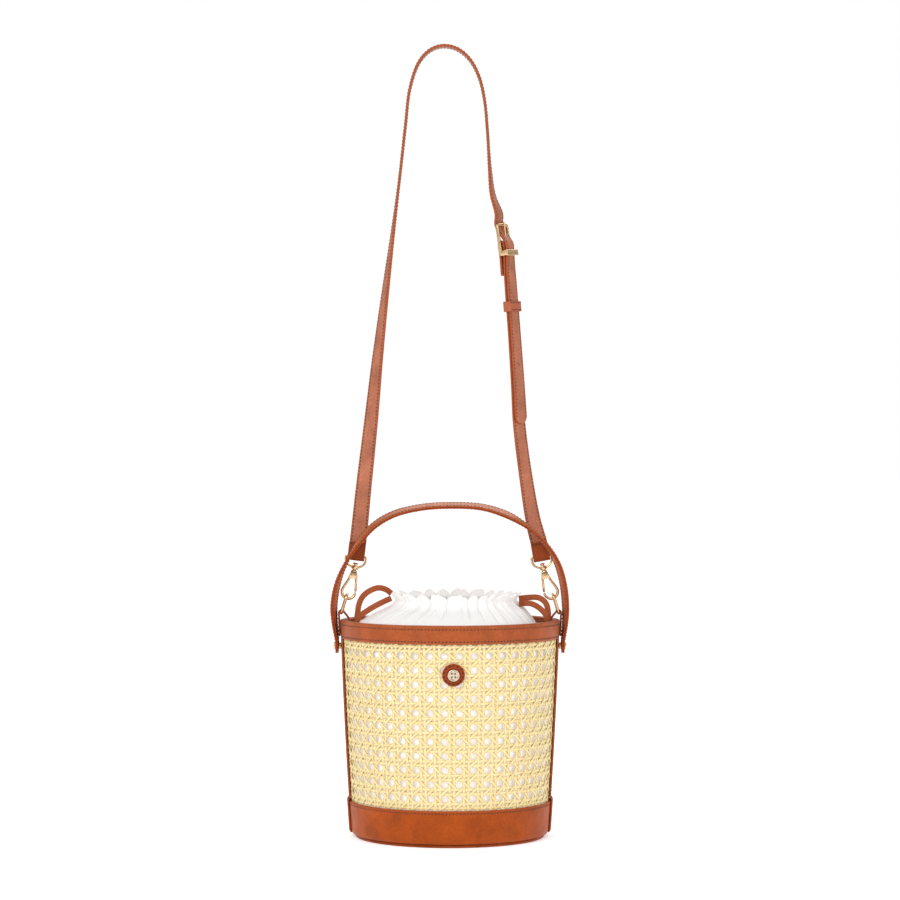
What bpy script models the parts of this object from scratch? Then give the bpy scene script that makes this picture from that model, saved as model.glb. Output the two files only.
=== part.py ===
"""Bucket bag: a round cane-webbing body trimmed in leather, a drawstring liner, a top handle and
a crossbody strap on swivel snap hooks.

Metres, +Z up. The origin is the centre of the underside. The front, with the medallion, faces -Y.
"""
import math

import bmesh
import bpy
import numpy as np
from mathutils import Matrix, Vector

# ---------------------------------------------------------------- driving dimensions
GAP = 0.0003                 # clearance between neighbouring pieces
LEATHER = 0.0014             # thickness of a single leather layer
RING_STEP = 9.0              # degrees between the facets of the round body

BODY_HEIGHT = 0.189
BASE_RADIUS = 0.0846         # outside of the cane, carried down to z = 0
WALL_TAPER = 0.050           # how much the wall widens per metre of height
WALL_BULGE = 0.0009          # how far the wall stands out at mid height
BULGE_MIDDLE = 0.100
BULGE_REACH = 0.090
CANE = 0.0018                # thickness of the woven cane
CANE_LOW = 0.009
CANE_HIGH = 0.1865
SEAM_HALF_ANGLE = 1.3        # the two cane panels stop this many degrees short of the side
STRIP_HALF_ANGLE = 8.9       # the side strips that cover the seams
RIM_LOW = 0.173
BASE_BAND_HIGH = 0.032
BASE_CORNER = 0.008          # rounding where the base band turns under
LINER_OFFSET = -0.0072       # liner's outer face, measured from the cane's outer face
LINER = 0.0012
MOUTH_SHIFT = 0.0045         # the gathered mouth sits a little towards +X

MEDALLION_HEIGHT = 0.1475
MEDALLION_TURN = 1.8         # degrees round the body from the front, towards +X
MEDALLION_RADIUS = 0.0095
STUD_RADIUS = 0.0052

HANDLE_PIVOT = 0.166         # height of the two handle studs
HANDLE_LEAN = 10.0           # degrees the handle leans forward at rest
HANDLE_WIDTH = 0.018
HANDLE_FACE = 0.0015
HANDLE_LINING = 0.0009
SHANK_RADIUS = 0.0015

WIRE = 0.0013                # radius of the oblong rings' wire
RING_BAR = (0.0948, 0.1948)  # x, z of the ring's lower bar, which the tab holds
RING_TOP = (0.0900, 0.2107)
RING_HALF_WIDTH = 0.0088
RING_CORNER = 0.0030
TAB_WIDTH = 0.010

HOOK_WIRE = 0.0012
HOOK_BASE = (0.0888, 0.2069)  # x, z of the bow's lowest point, which is also the swing axis
HOOK_TILT = {"left": 11.5, "right": 15.0}
LOOP_TILT = {"left": 7.0, "right": 10.0}
COLLAR_HEIGHT = 0.0280       # swivel collar, measured up the hook's own axis
LOOP_BAR_HEIGHT = 0.2443     # both strap bars lie on one line, the strap's folding axis
LOOP_WIRE = 0.0010
LOOP_HALF_WIDTH = 0.0088

STRAP_WIDTH = 0.0146
STRAP = 0.0020
LAYER = STRAP + 0.0005       # from the middle of one strap layer to the middle of the next
FOLD_PLAY = {"left": 0.0002, "right": 0.0008}  # extra slack of the sewn ends round their bars

BUCKLE_CENTRE = (0.0470, 0.0, 0.5205)
BUCKLE_LEAN = 8.5
BUCKLE_AZIMUTH = -118.0
BUCKLE_HALF_WIDTH = 0.0095
BUCKLE_HALF_HEIGHT = 0.0135
HINGE_BAR_DROP = 0.004
FRONT_BAR_DROP = 0.0118
FRONT_BAR_PASS = 0.0042      # how far out of the buckle's plane the tail runs under the front bar
HINGE_BAR = 0.0010
TONGUE = 0.0008

KEEPER_HEIGHT = 0.4625
KEEPER_WIDTH = 0.009


# ---------------------------------------------------------------- small tools
def clear_scene():
    for item in list(bpy.data.objects):
        bpy.data.objects.remove(item, do_unlink=True)


def material(name, colour, roughness, metallic=0.0):
    surface = bpy.data.materials.new(name)
    surface.use_nodes = True
    shader = surface.node_tree.nodes["Principled BSDF"]
    shader.inputs["Base Color"].default_value = (*colour, 1.0)
    shader.inputs["Roughness"].default_value = roughness
    shader.inputs["Metallic"].default_value = metallic
    return surface


def leather(name, shade=1.0):
    return material(name, (0.43 * shade, 0.135 * shade, 0.045 * shade), 0.45)


def gold(name):
    return material(name, (0.83, 0.62, 0.36), 0.25, 1.0)


def wall(height):
    """Outer radius of the cane wall."""
    off_middle = (height - BULGE_MIDDLE) / BULGE_REACH
    return BASE_RADIUS + WALL_TAPER * height + WALL_BULGE * (1.0 - off_middle ** 2)


def corner(height):
    """How far the base band has turned in at this height."""
    below = max(0.0, BASE_CORNER - height)
    return BASE_CORNER - math.sqrt(BASE_CORNER ** 2 - below ** 2)


def skin(name, sections, closed, surface=None, pivot=(0.0, 0.0, 0.0), flat=False):
    """Join matching loops of points into one closed surface, capped unless it meets itself.

    A flat strap's two faces are split along matching diagonals, so that stacked layers which
    twist together keep their clearance.
    """
    origin = Vector(pivot)
    mesh = bmesh.new()
    loops = [[mesh.verts.new(Vector(point) - origin) for point in section] for section in sections]
    pairs = list(zip(loops, loops[1:]))
    if closed:
        pairs.append((loops[-1], loops[0]))
    else:
        mesh.faces.new(loops[0])
        mesh.faces.new(loops[-1])
    for first, second in pairs:
        for i in range(len(first)):
            j = (i + 1) % len(first)
            if flat and i == 0:
                mesh.faces.new((first[i], first[j], second[j]))
                mesh.faces.new((first[i], second[j], second[i]))
            elif flat and i == 2:
                mesh.faces.new((first[i], first[j], second[i]))
                mesh.faces.new((first[j], second[j], second[i]))
            else:
                mesh.faces.new((first[i], first[j], second[j], second[i]))
    bmesh.ops.recalc_face_normals(mesh, faces=mesh.faces)
    data = bpy.data.meshes.new(name)
    mesh.to_mesh(data)
    mesh.free()
    data.shade_smooth()
    data.set_sharp_from_angle(angle=math.radians(40))
    item = bpy.data.objects.new(name, data)
    item.location = origin
    bpy.context.scene.collection.objects.link(item)
    if surface:
        data.materials.append(surface)
    return item


def turned(name, profile, surface=None, angles=None, place=Matrix.Identity(4), step=RING_STEP):
    """Turn a closed (radius, height) outline about the Z axis of a placement matrix."""
    closed = angles is None
    if closed:
        angles = [step * i for i in range(round(360 / step))]
    sections = []
    for angle in angles:
        c, s = math.cos(math.radians(angle)), math.sin(math.radians(angle))
        sections.append([place @ Vector((radius * c, radius * s, z)) for radius, z in profile])
    return skin(name, sections, closed, surface)


def solid_of_revolution(name, profile, surface, place, sides=16, pivot=(0, 0, 0)):
    """Turn an open (radius, height) outline that starts and ends on the axis."""
    sections = []
    for radius, z in profile:
        ring = []
        for i in range(sides):
            angle = 2 * math.pi * i / sides
            ring.append(place @ Vector((radius * math.cos(angle), radius * math.sin(angle), z)))
        sections.append(ring)
    return skin(name, sections, False, surface, pivot)


def box(name, low, high, surface=None, place=Matrix.Identity(4), pivot=(0, 0, 0)):
    (x0, y0, z0), (x1, y1, z1) = low, high
    outline = [(x0, y0), (x1, y0), (x1, y1), (x0, y1)]
    sections = [[place @ Vector((x, y, z)) for x, y in outline] for z in (z0, z1)]
    return skin(name, sections, False, surface, pivot)


def boolean(item, tool, operation):
    """Cut or join with a guide object that stays out of the model."""
    change = item.modifiers.new(tool.name, "BOOLEAN")
    change.operation = operation
    change.object = tool
    change.solver = "EXACT"
    tool.hide_render = True
    tool.display_type = "WIRE"


def between(first, second, knot_a, knot_b, knot):
    return (first * (knot_b - knot) + second * (knot - knot_a)) / (knot_b - knot_a)


def spline(points, steps):
    """Centripetal Catmull-Rom curve through the points, with the same number in each span."""
    path = [np.array(point, float) for point in points]
    path = [2 * path[0] - path[1], *path, 2 * path[-1] - path[-2]]
    knots = [0.0]
    for first, second in zip(path, path[1:]):
        knots.append(knots[-1] + math.sqrt(np.linalg.norm(second[:3] - first[:3])))
    found = []
    for i in range(1, len(path) - 2):
        p, k = path[i - 1:i + 3], knots[i - 1:i + 3]
        for step in range(steps):
            t = k[1] + (k[2] - k[1]) * step / steps
            a = [between(p[j], p[j + 1], k[j], k[j + 1], t) for j in range(3)]
            b = [between(a[j], a[j + 1], k[j], k[j + 2], t) for j in range(2)]
            found.append(between(b[0], b[1], k[1], k[2], t))
    found.append(path[-2])
    return found


def frames(samples):
    """(point, width direction, outward normal) at each (x, y, z, azimuth, tilt) strap sample."""
    places = [Vector(sample[:3]) for sample in samples]
    found = []
    for i, sample in enumerate(samples):
        along = (places[min(i + 1, len(places) - 1)] - places[max(i - 1, 0)]).normalized()
        azimuth, tilt = math.radians(sample[3]), math.radians(sample[4])
        across = Vector((math.cos(azimuth), math.sin(azimuth), math.tan(tilt)))
        across = (across - along * across.dot(along)).normalized()
        found.append((places[i], across, across.cross(along)))
    return found


def tip_width(distance, half_width):
    """Half-width of a round strap tip at a distance from its end."""
    if distance >= half_width:
        return half_width
    return math.sqrt(max(half_width ** 2 - (half_width - distance) ** 2, (0.3 * half_width) ** 2))


def strap(name, points, width, thickness, surface, steps=3, offset=0.0, round_ends=(False, False),
          pivot=(0, 0, 0)):
    """Sweep a flat strap along (x, y, z, azimuth) points, which may add a tilt of the width."""
    path = frames(spline([(*point, 0.0)[:5] for point in points], steps))
    lengths = [0.0]
    for (first, _, _), (second, _, _) in zip(path, path[1:]):
        lengths.append(lengths[-1] + (second - first).length)
    sections = []
    for (centre, across, out), length in zip(path, lengths):
        half = width / 2
        if round_ends[0]:
            half = min(half, tip_width(length, width / 2))
        if round_ends[1]:
            half = min(half, tip_width(lengths[-1] - length, width / 2))
        middle = centre + out * offset
        side, depth = across * half, out * (thickness / 2)
        sections.append([middle - side - depth, middle + side - depth,
                         middle + side + depth, middle - side + depth])
    return skin(name, sections, False, surface, pivot, flat=True)


def wire(name, points, radius, normal, surface=None, closed=False, sides=8, pivot=(0, 0, 0)):
    """A round bar along a path that lies in the plane with the given normal."""
    count = len(points)
    sections = []
    for i, point in enumerate(points):
        ahead = points[(i + 1) % count] if closed else points[min(i + 1, count - 1)]
        behind = points[i - 1] if closed else points[max(i - 1, 0)]
        side = (ahead - behind).normalized().cross(normal).normalized()
        ring = []
        for k in range(sides):
            angle = 2 * math.pi * k / sides
            ring.append(point + side * radius * math.cos(angle) + normal * radius * math.sin(angle))
        sections.append(ring)
    return skin(name, sections, closed, surface, pivot)


def rounded_loop(half_x, half_y, radius, steps=3):
    """Corner-rounded rectangle as (x, y) points."""
    found = []
    for turn, (sx, sy) in enumerate(((1, 1), (-1, 1), (-1, -1), (1, -1))):
        for step in range(steps + 1):
            angle = math.radians(90 * turn + 90 * step / steps)
            found.append((sx * (half_x - radius) + radius * math.cos(angle),
                          sy * (half_y - radius) + radius * math.sin(angle)))
    return found


def axis_place(origin, x_axis, y_axis, z_axis):
    """Placement whose X, Y and Z axes point along the given directions."""
    place = Matrix((x_axis, y_axis, z_axis)).transposed().to_4x4()
    place.translation = Vector(origin)
    return place


def empty(name, location, rotation=(0.0, 0.0, 0.0)):
    item = bpy.data.objects.new(name, None)
    item.location = location
    item.rotation_euler = rotation
    bpy.context.scene.collection.objects.link(item)
    return item


# ---------------------------------------------------------------- body of the bag
def wall_band(low, high, inner, outer, levels):
    """Outline of a band that follows the wall between two heights, as offsets from the cane."""
    heights = [low + (high - low) * i / levels for i in range(levels + 1)]
    outside = [(wall(z) + outer, z) for z in heights]
    inside = [(wall(z) + inner, z) for z in reversed(heights)]
    return outside + inside


def half_turn(start):
    """Facet angles of one cane panel, in step with the full rings."""
    inner = [start + RING_STEP * i for i in range(1, round(180 / RING_STEP))]
    return [start + SEAM_HALF_ANGLE, *inner, start + 180 - SEAM_HALF_ANGLE]


def cane_panels():
    outline = wall_band(CANE_LOW, CANE_HIGH, -CANE, 0.0, 5)
    front = turned("cane_front", outline, material("cane_front", (0.93, 0.80, 0.42), 0.6),
                   half_turn(180))
    turned("cane_back", outline, material("cane_back", (0.93, 0.80, 0.42), 0.6), half_turn(0))
    hole = solid_of_revolution("medallion_hole", [(SHANK_RADIUS + GAP, -0.004),
                                                  (SHANK_RADIUS + GAP, 0.004)],
                               None, medallion_place(0.0), sides=12)
    boolean(front, hole, "DIFFERENCE")


def base_parts():
    """Underside panel, its board, the piping round its edge and the band that wraps the corner."""
    edge = wall(0.0) + LEATHER + GAP - BASE_CORNER * 0.42
    piping = 0.0015
    disc = edge - 2 * piping - 0.0006
    for name, low, high, inset, surface in (
            ("base_panel", 0.0, 0.0016, 0.0, leather("base_panel", 0.9)),
            ("base_board", 0.0016 + GAP, 0.0042, 0.0012,
             material("base_board", (0.35, 0.30, 0.24), 0.9))):
        sides = round(360 / RING_STEP)
        solid_of_revolution(name, [(disc - inset, low), (disc - inset, high)], surface,
                            Matrix.Identity(4), sides)
    round_section = [(edge - piping + piping * math.cos(math.radians(a)),
                      0.0001 + piping + piping * math.sin(math.radians(a)))
                     for a in range(0, 360, 60)]
    turned("base_piping", round_section, leather("base_piping", 0.8))
    heights = (0.0036, 0.0052, 0.008, 0.014, BASE_BAND_HIGH)
    outside = [(wall(z) + GAP + LEATHER - corner(z), z) for z in heights]
    inside = [(wall(z) + GAP - corner(z), z) for z in reversed(heights)]
    turned("base_band", outside + inside, leather("base_band"))


def side_strips():
    """Leather strips over the two side seams; they lap over the base band."""
    lap = BASE_BAND_HIGH + 0.0005
    over = GAP * 2 + LEATHER
    step = 0.0025
    low_heights = (0.0045, 0.0062, 0.009, 0.014, lap)
    high_heights = (lap + step, 0.080, 0.125, RIM_LOW - GAP)
    outside = [(wall(z) + over + LEATHER - corner(z), z) for z in low_heights]
    outside += [(wall(z) + GAP + LEATHER, z) for z in high_heights]
    inside = [(wall(z) + GAP, z) for z in reversed(high_heights)]
    inside += [(wall(z) + over - corner(z), z) for z in reversed(low_heights)]
    for side, middle in (("left", 180), ("right", 0)):
        angles = [middle + STRIP_HALF_ANGLE * k / 2 for k in (-2, -1, 0, 1, 2)]
        strip = turned(f"side_strip_{side}", outside + inside, leather(f"side_strip_{side}", 0.85),
                       angles)
        boolean(strip, stud_hole(side, "strip"), "DIFFERENCE")


def rim_parts():
    """Outer band turned over the edge, the stiff hoop inside it and the inner facing."""
    top, inner = BODY_HEIGHT, -0.0048
    under = top - LEATHER - 0.0001
    edge = wall(top)
    outline = [(wall(RIM_LOW) + GAP + LEATHER, RIM_LOW), (edge + GAP + LEATHER, top - 0.0010),
               (edge + 0.0009, top), (edge + inner + 0.0006, top), (edge + inner, top - 0.0006),
               (edge + inner, under), (edge + GAP, under), (wall(RIM_LOW) + GAP, RIM_LOW)]
    turned("rim_band", outline, leather("rim_band"))
    turned("rim_hoop", wall_band(0.1745, under - GAP, -0.0033, -0.0021, 1),
           material("rim_hoop", (0.75, 0.72, 0.66), 0.5))
    turned("rim_facing", wall_band(0.1735, under - GAP, inner, -0.0036, 1),
           leather("rim_facing", 0.8))


def liner_parts():
    """Cotton liner: a cup up the wall, a shoulder that draws in, and the gathered channel."""
    outer = [(0.060, 0.0046)]
    outer += [(wall(z) + LINER_OFFSET, z) for z in (0.0052, 0.080, 0.160, 0.172)]
    outer += [(0.0800, 0.1835), (0.0680, 0.1945), (0.0570, 0.2015)]
    cotton = material("liner_cup", (0.93, 0.92, 0.90), 0.9)
    mouth = [(0.0460, 0.2015), (0.0460, 0.2015 - LINER), (0.0565, 0.2015 - LINER)]
    inner = [(0.0674, 0.1935), (0.0788, 0.1828)]
    inner += [(wall(z) + LINER_OFFSET - LINER, z) for z in (0.171, 0.160, 0.080, 0.0064)]
    inner += [(0.060, 0.0062)]
    cup = outer + mouth + inner
    sections = []
    sides = round(360 / RING_STEP)
    for radius, z in cup:
        sections.append([Vector((radius * math.cos(math.radians(RING_STEP * i)),
                                 radius * math.sin(math.radians(RING_STEP * i)), z))
                         for i in range(sides)])
    skin("liner_cup", sections, False, cotton)
    collar = [(0.0420, 0.2020), (0.0520, 0.2020), (0.0540, 0.2045), (0.0545, 0.2090),
              (0.0530, 0.2130), (0.0500, 0.2146), (0.0440, 0.2140), (0.0410, 0.2100),
              (0.0410, 0.2050)]
    turned("liner_collar", collar, material("liner_collar", (0.95, 0.94, 0.92), 0.9), None,
           Matrix.Translation((MOUTH_SHIFT, 0.0, 0.0)))


def drawcords():
    """Flat laces: each leaves the channel, loops over and tucks in behind the rim."""
    left = [(-0.0512, 0.0015, 0.2115), (-0.0560, 0.0010, 0.2150), (-0.0625, 0.0000, 0.2165),
            (-0.0700, -0.0010, 0.2140), (-0.0762, -0.0025, 0.2090), (-0.0795, -0.0040, 0.2020),
            (-0.0806, -0.0060, 0.1945), (-0.0815, -0.0085, 0.1868), (-0.0820, -0.0125, 0.1842),
            (-0.0812, -0.0155, 0.1880), (-0.0775, -0.0155, 0.1932), (-0.0700, -0.0135, 0.1985),
            (-0.0610, -0.0115, 0.2035), (-0.0512, -0.0095, 0.2080)]
    right = [(0.0602, -0.0005, 0.2072), (0.0690, -0.0015, 0.2082), (0.0775, -0.0035, 0.2080),
             (0.0835, -0.0055, 0.2035), (0.0856, -0.0075, 0.1950), (0.0848, -0.0095, 0.1868),
             (0.0838, -0.0135, 0.1842), (0.0840, -0.0172, 0.1868), (0.0835, -0.0185, 0.1930),
             (0.0780, -0.0170, 0.1995), (0.0700, -0.0135, 0.2035), (0.0602, -0.0090, 0.2030)]
    for name, route in (("drawcord_left", left), ("drawcord_right", right)):
        points = spline(route, 3)
        curve = bpy.data.curves.new(name, "CURVE")
        curve.dimensions = "3D"
        curve.bevel_depth = 0.0011
        curve.bevel_resolution = 2
        curve.use_fill_caps = True
        line = curve.splines.new("POLY")
        line.points.add(len(points) - 1)
        for place, point in zip(line.points, points):
            place.co = (*point, 1.0)
        curve.materials.append(leather(name, 0.75))
        bpy.context.scene.collection.objects.link(bpy.data.objects.new(name, curve))


# ---------------------------------------------------------------- medallion
def medallion_place(outward):
    """Placement with +Z straight out of the front wall, a distance outside the cane."""
    tilt = math.atan(WALL_TAPER)
    out = Vector((0.0, -math.cos(tilt), -math.sin(tilt)))
    up = Vector((0.0, -math.sin(tilt), math.cos(tilt)))
    centre = Vector((0.0, -wall(MEDALLION_HEIGHT), MEDALLION_HEIGHT)) + out * outward
    turn = Matrix.Rotation(math.radians(MEDALLION_TURN), 4, "Z")
    return turn @ axis_place(centre, up.cross(out), up, out)


def medallion():
    """Stitched leather disc, domed stud through it, and the washer it is clinched to inside."""
    place = medallion_place(0.0)
    hole = SHANK_RADIUS + GAP
    low = GAP + 0.0002
    outline = [(hole, low), (MEDALLION_RADIUS, low), (MEDALLION_RADIUS, low + 0.0014),
               (0.0072, low + 0.0018), (0.0064, low + 0.0025), (hole, low + 0.0018)]
    turned("medallion_disc", outline, leather("medallion_disc"), None, place, 15)
    top = low + 0.0025 + GAP
    profile = [(SHANK_RADIUS, -CANE - 0.0016), (SHANK_RADIUS, top), (STUD_RADIUS, top),
               (STUD_RADIUS, top + 0.0006), (STUD_RADIUS * 0.75, top + 0.0013),
               (STUD_RADIUS * 0.3, top + 0.0016)]
    solid_of_revolution("medallion_stud", profile, gold("medallion_stud"), place, sides=20)
    back = -CANE - 0.0007
    washer = [(hole, back - 0.0006), (0.0040, back - 0.0006), (0.0040, back), (hole, back)]
    turned("medallion_washer", washer, gold("medallion_washer"), None, place, 30)


# ---------------------------------------------------------------- handle
def side_place(side, radius):
    """Placement at the handle's pivot height with +Z pointing out of the side of the bag."""
    sign = -1.0 if side == "left" else 1.0
    out = Vector((sign, 0.0, 0.0))
    up = Vector((0.0, 0.0, 1.0))
    return axis_place((sign * radius, 0.0, HANDLE_PIVOT), up.cross(out), up, out)


def stud_hole(side, owner):
    radius = SHANK_RADIUS + GAP
    return solid_of_revolution(f"{owner}_hole_{side}", [(radius, -0.008), (radius, 0.008)], None,
                               side_place(side, 0.0965), sides=12)


def handle():
    """Arched strap in two layers. It is modelled upright and leant forward about its studs."""
    arch = [(-0.0987, 0.0, 0.1595, -90), (-0.0987, 0.0, 0.1705, -90), (-0.0994, 0.0, 0.177, -92),
            (-0.1006, 0.0, 0.187, -96), (-0.1011, 0.0, 0.203, -101), (-0.0974, 0.0, 0.223, -101),
            (-0.0891, 0.0, 0.2425, -96), (-0.0775, 0.0, 0.2605, -86),
            (-0.0650, 0.0, 0.2738, -84), (-0.0480, 0.0, 0.2835, -85), (-0.0240, 0.0, 0.2893, -88),
            (0.0020, 0.0, 0.2909, -90), (0.0280, 0.0, 0.2893, -94), (0.0496, 0.0, 0.2825, -97),
            (0.0662, 0.0, 0.2728, -84), (0.0791, 0.0, 0.2610, -77), (0.0880, 0.0, 0.2495, -76),
            (0.0943, 0.0, 0.2370, -76), (0.0990, 0.0, 0.2190, -77), (0.1008, 0.0, 0.2000, -79),
            (0.1005, 0.0, 0.1870, -84), (0.0995, 0.0, 0.177, -88), (0.0987, 0.0, 0.1705, -90),
            (0.0987, 0.0, 0.1595, -90)]
    pivot = (0.0, 0.0, HANDLE_PIVOT)
    axis = empty("handle_axis", pivot, (math.radians(HANDLE_LEAN), 0.0, 0.0))
    layers = (("handle_strap", HANDLE_FACE, (HANDLE_LINING + GAP) / 2),
              ("handle_lining", HANDLE_LINING, -(HANDLE_FACE + GAP) / 2))
    for name, thickness, offset in layers:
        layer = strap(name, arch, HANDLE_WIDTH, thickness, leather(name), 2, offset, (True, True),
                      pivot)
        layer.parent = axis
        layer.location = (0.0, 0.0, 0.0)
        for side in ("left", "right"):
            boolean(layer, stud_hole(side, name), "DIFFERENCE")


def handle_studs():
    """Rivet posts that carry the handle: cap outside, spacing collar, washer inside the wall."""
    strip_face = wall(HANDLE_PIVOT) + GAP + LEATHER
    layer_in = 0.0987 - (HANDLE_FACE + HANDLE_LINING + GAP) / 2
    layer_out = 0.0987 + (HANDLE_FACE + HANDLE_LINING + GAP) / 2
    for side in ("left", "right"):
        place = side_place(side, 0.0)
        inner_end = wall(HANDLE_PIVOT) - 0.0030
        profile = [(SHANK_RADIUS, inner_end), (SHANK_RADIUS, strip_face + GAP),
                   (0.0030, strip_face + GAP), (0.0030, layer_in - GAP),
                   (SHANK_RADIUS, layer_in - GAP), (SHANK_RADIUS, layer_out + GAP),
                   (0.0036, layer_out + GAP), (0.0036, layer_out + GAP + 0.0006),
                   (0.0022, layer_out + GAP + 0.0013)]
        solid_of_revolution(f"handle_stud_{side}", profile, gold(f"handle_stud_{side}"), place, 12)
        low = wall(HANDLE_PIVOT) - CANE - GAP - 0.0007
        washer = [(SHANK_RADIUS + GAP, low), (0.0040, low), (0.0040, low + 0.0006),
                  (SHANK_RADIUS + GAP, low + 0.0006)]
        turned(f"handle_washer_{side}", washer, gold(f"handle_washer_{side}"), None, place, 30)


# ---------------------------------------------------------------- rings, hooks and loops
def mirror(side):
    return -1.0 if side == "left" else 1.0


def ring_tabs():
    """Leather tabs that straddle the rim and hold the lower bar of each ring."""
    for side in ("left", "right"):
        sign = mirror(side)
        bar_x, bar_z = RING_BAR
        reach = WIRE + GAP + LEATHER / 2
        outline = [(0.09625, 0.1745), (0.0966, 0.1840), (0.0969, 0.1912)]
        outline += [(bar_x + reach * math.cos(math.radians(a)),
                     bar_z + reach * math.sin(math.radians(a))) for a in (10, 50, 90, 130, 165)]
        outline += [(0.0899, 0.1922), (0.0879, 0.1888), (0.0876, 0.1840), (0.0874, 0.1790)]
        points = [(sign * x, 0.0, z, -90 * sign) for x, z in outline]
        strap(f"ring_tab_{side}", points, TAB_WIDTH, LEATHER, leather(f"ring_tab_{side}"), 1)


def rings():
    """Oblong rings that lean in from the tabs."""
    for side in ("left", "right"):
        sign = mirror(side)
        low = Vector((sign * RING_BAR[0], 0.0, RING_BAR[1]))
        high = Vector((sign * RING_TOP[0], 0.0, RING_TOP[1]))
        up = (high - low).normalized()
        across = Vector((0.0, 1.0, 0.0))
        middle = (low + high) / 2
        loop = rounded_loop(RING_HALF_WIDTH, (high - low).length / 2, RING_CORNER)
        points = [middle + across * y + up * z for y, z in loop]
        wire(f"ring_{side}", points, WIRE, across.cross(up), gold(f"ring_{side}"), True, pivot=low)


def hook_place(side):
    """Placement at the bow's lowest point: +X outward, +Y back, +Z up the hook's own axis."""
    sign = mirror(side)
    tilt = math.radians(HOOK_TILT[side])
    out = Vector((sign * math.cos(tilt), 0.0, math.sin(tilt)))
    up = Vector((-sign * math.sin(tilt), 0.0, math.cos(tilt)))
    return axis_place((sign * HOOK_BASE[0], 0.0, HOOK_BASE[1]), out, Vector((0.0, 1.0, 0.0)), up)


GATE_PIVOT = (-0.0029, 0.0197)
GATE_PIN = 0.0006


def hooks():
    """Snap hooks: bow, neck with a slot for the gate, swivel post with a riveted head."""
    for side in ("left", "right"):
        place = hook_place(side)
        pivot = place.translation
        back = Vector((0.0, 1.0, 0.0))
        surface = gold(f"hook_{side}")
        bow = [(0.0022, 0.0205), (0.0033, 0.0165), (0.0052, 0.0120), (0.0067, 0.0078),
               (0.0068, 0.0048), (0.0052, 0.0018), (0.0025, 0.0003), (-0.0003, 0.0002),
               (-0.0030, 0.0018), (-0.0046, 0.0042), (-0.0049, 0.0068)]
        points = [place @ Vector((x, 0.0, z)) for x, z in bow]
        hook = wire(f"hook_{side}", points, HOOK_WIRE, back, surface, pivot=pivot)
        x, z = GATE_PIVOT
        neck = box(f"neck_{side}", (-0.0046, -0.0022, 0.0185), (0.0040, 0.0022, 0.0250), None,
                   place, pivot)
        boolean(hook, neck, "UNION")
        slot = box(f"slot_{side}", (-0.0060, -0.0011, 0.0170), (-0.0008, 0.0011, 0.0221), None,
                   place, pivot)
        boolean(hook, slot, "DIFFERENCE")
        across = axis_place(place @ Vector((x, 0.0, z)), place.to_3x3().col[2],
                            place.to_3x3().col[0], back)
        pin_hole = solid_of_revolution(f"pin_hole_{side}",
                                       [(GATE_PIN + GAP, -0.003), (GATE_PIN + GAP, 0.003)], None,
                                       across, 10, pivot)
        boolean(hook, pin_hole, "DIFFERENCE")
        post = solid_of_revolution(f"post_{side}", [
            (0.0012, 0.0242), (0.0012, 0.0308), (0.0024, 0.0308), (0.0024, 0.0315),
            (0.0012, 0.0323)], None, place, 10, pivot)
        boolean(hook, post, "UNION")

        gate = box(f"gate_{side}", (x - 0.0010, -0.0008, z - 0.0022), (x + 0.0008, 0.0008, z + 0.0010),
                   gold(f"gate_{side}"), place, place @ Vector((x, 0.0, z)))
        bar_low = place @ Vector((-0.0048, 0.0, 0.0074))
        bar_high = place @ Vector((x - 0.0001, 0.0, z - 0.0014))
        bar = wire(f"gate_bar_{side}", [bar_low, bar_high], 0.0011, back, pivot=pivot)
        boolean(gate, bar, "UNION")
        pin = solid_of_revolution(f"gate_pin_{side}", [(GATE_PIN, -0.0022), (GATE_PIN, 0.0022)],
                                  None, across, 10, pivot)
        boolean(gate, pin, "UNION")


def loop_frame(side):
    """Swivel collar's centre, the strap bar's centre and the loop's own up direction."""
    sign = mirror(side)
    collar = hook_place(side) @ Vector((0.0, 0.0, COLLAR_HEIGHT))
    tilt = math.radians(LOOP_TILT[side])
    up = Vector((-sign * math.sin(tilt), 0.0, math.cos(tilt)))
    bar = collar + up * ((LOOP_BAR_HEIGHT - collar.z) / math.cos(tilt))
    return collar, bar, up


def strap_loops():
    """D-shaped loops: straight strap bar on top, round below, with a collar on the swivel post."""
    for side in ("left", "right"):
        collar, bar, up = loop_frame(side)
        back = Vector((0.0, 1.0, 0.0))
        across = back.cross(up)
        drop = (bar - collar).length
        outline = [(-LOOP_HALF_WIDTH, 0.0), (LOOP_HALF_WIDTH, 0.0)]
        straight = 0.0034
        outline += [(LOOP_HALF_WIDTH * math.cos(math.radians(a)),
                     -straight - (drop - straight) * math.sin(math.radians(a)))
                    for a in range(0, 181, 20)]
        points = [bar + across * x + up * z for x, z in outline]
        pivot = Vector((bar.x, 0.0, LOOP_BAR_HEIGHT))
        loop = wire(f"strap_loop_{side}", points, LOOP_WIRE, back, gold(f"strap_loop_{side}"),
                    True, pivot=pivot)
        place = hook_place(side)
        low, high = COLLAR_HEIGHT - 0.0017, COLLAR_HEIGHT + 0.0017
        knuckle = solid_of_revolution(f"knuckle_{side}", [(0.0030, low), (0.0030, high)], None,
                                      place, 12, pivot)
        boolean(loop, knuckle, "UNION")
        bore = solid_of_revolution(f"bore_{side}", [(0.0016, low - 0.002), (0.0016, high + 0.002)],
                                   None, place, 12, pivot)
        boolean(loop, bore, "DIFFERENCE")


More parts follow.
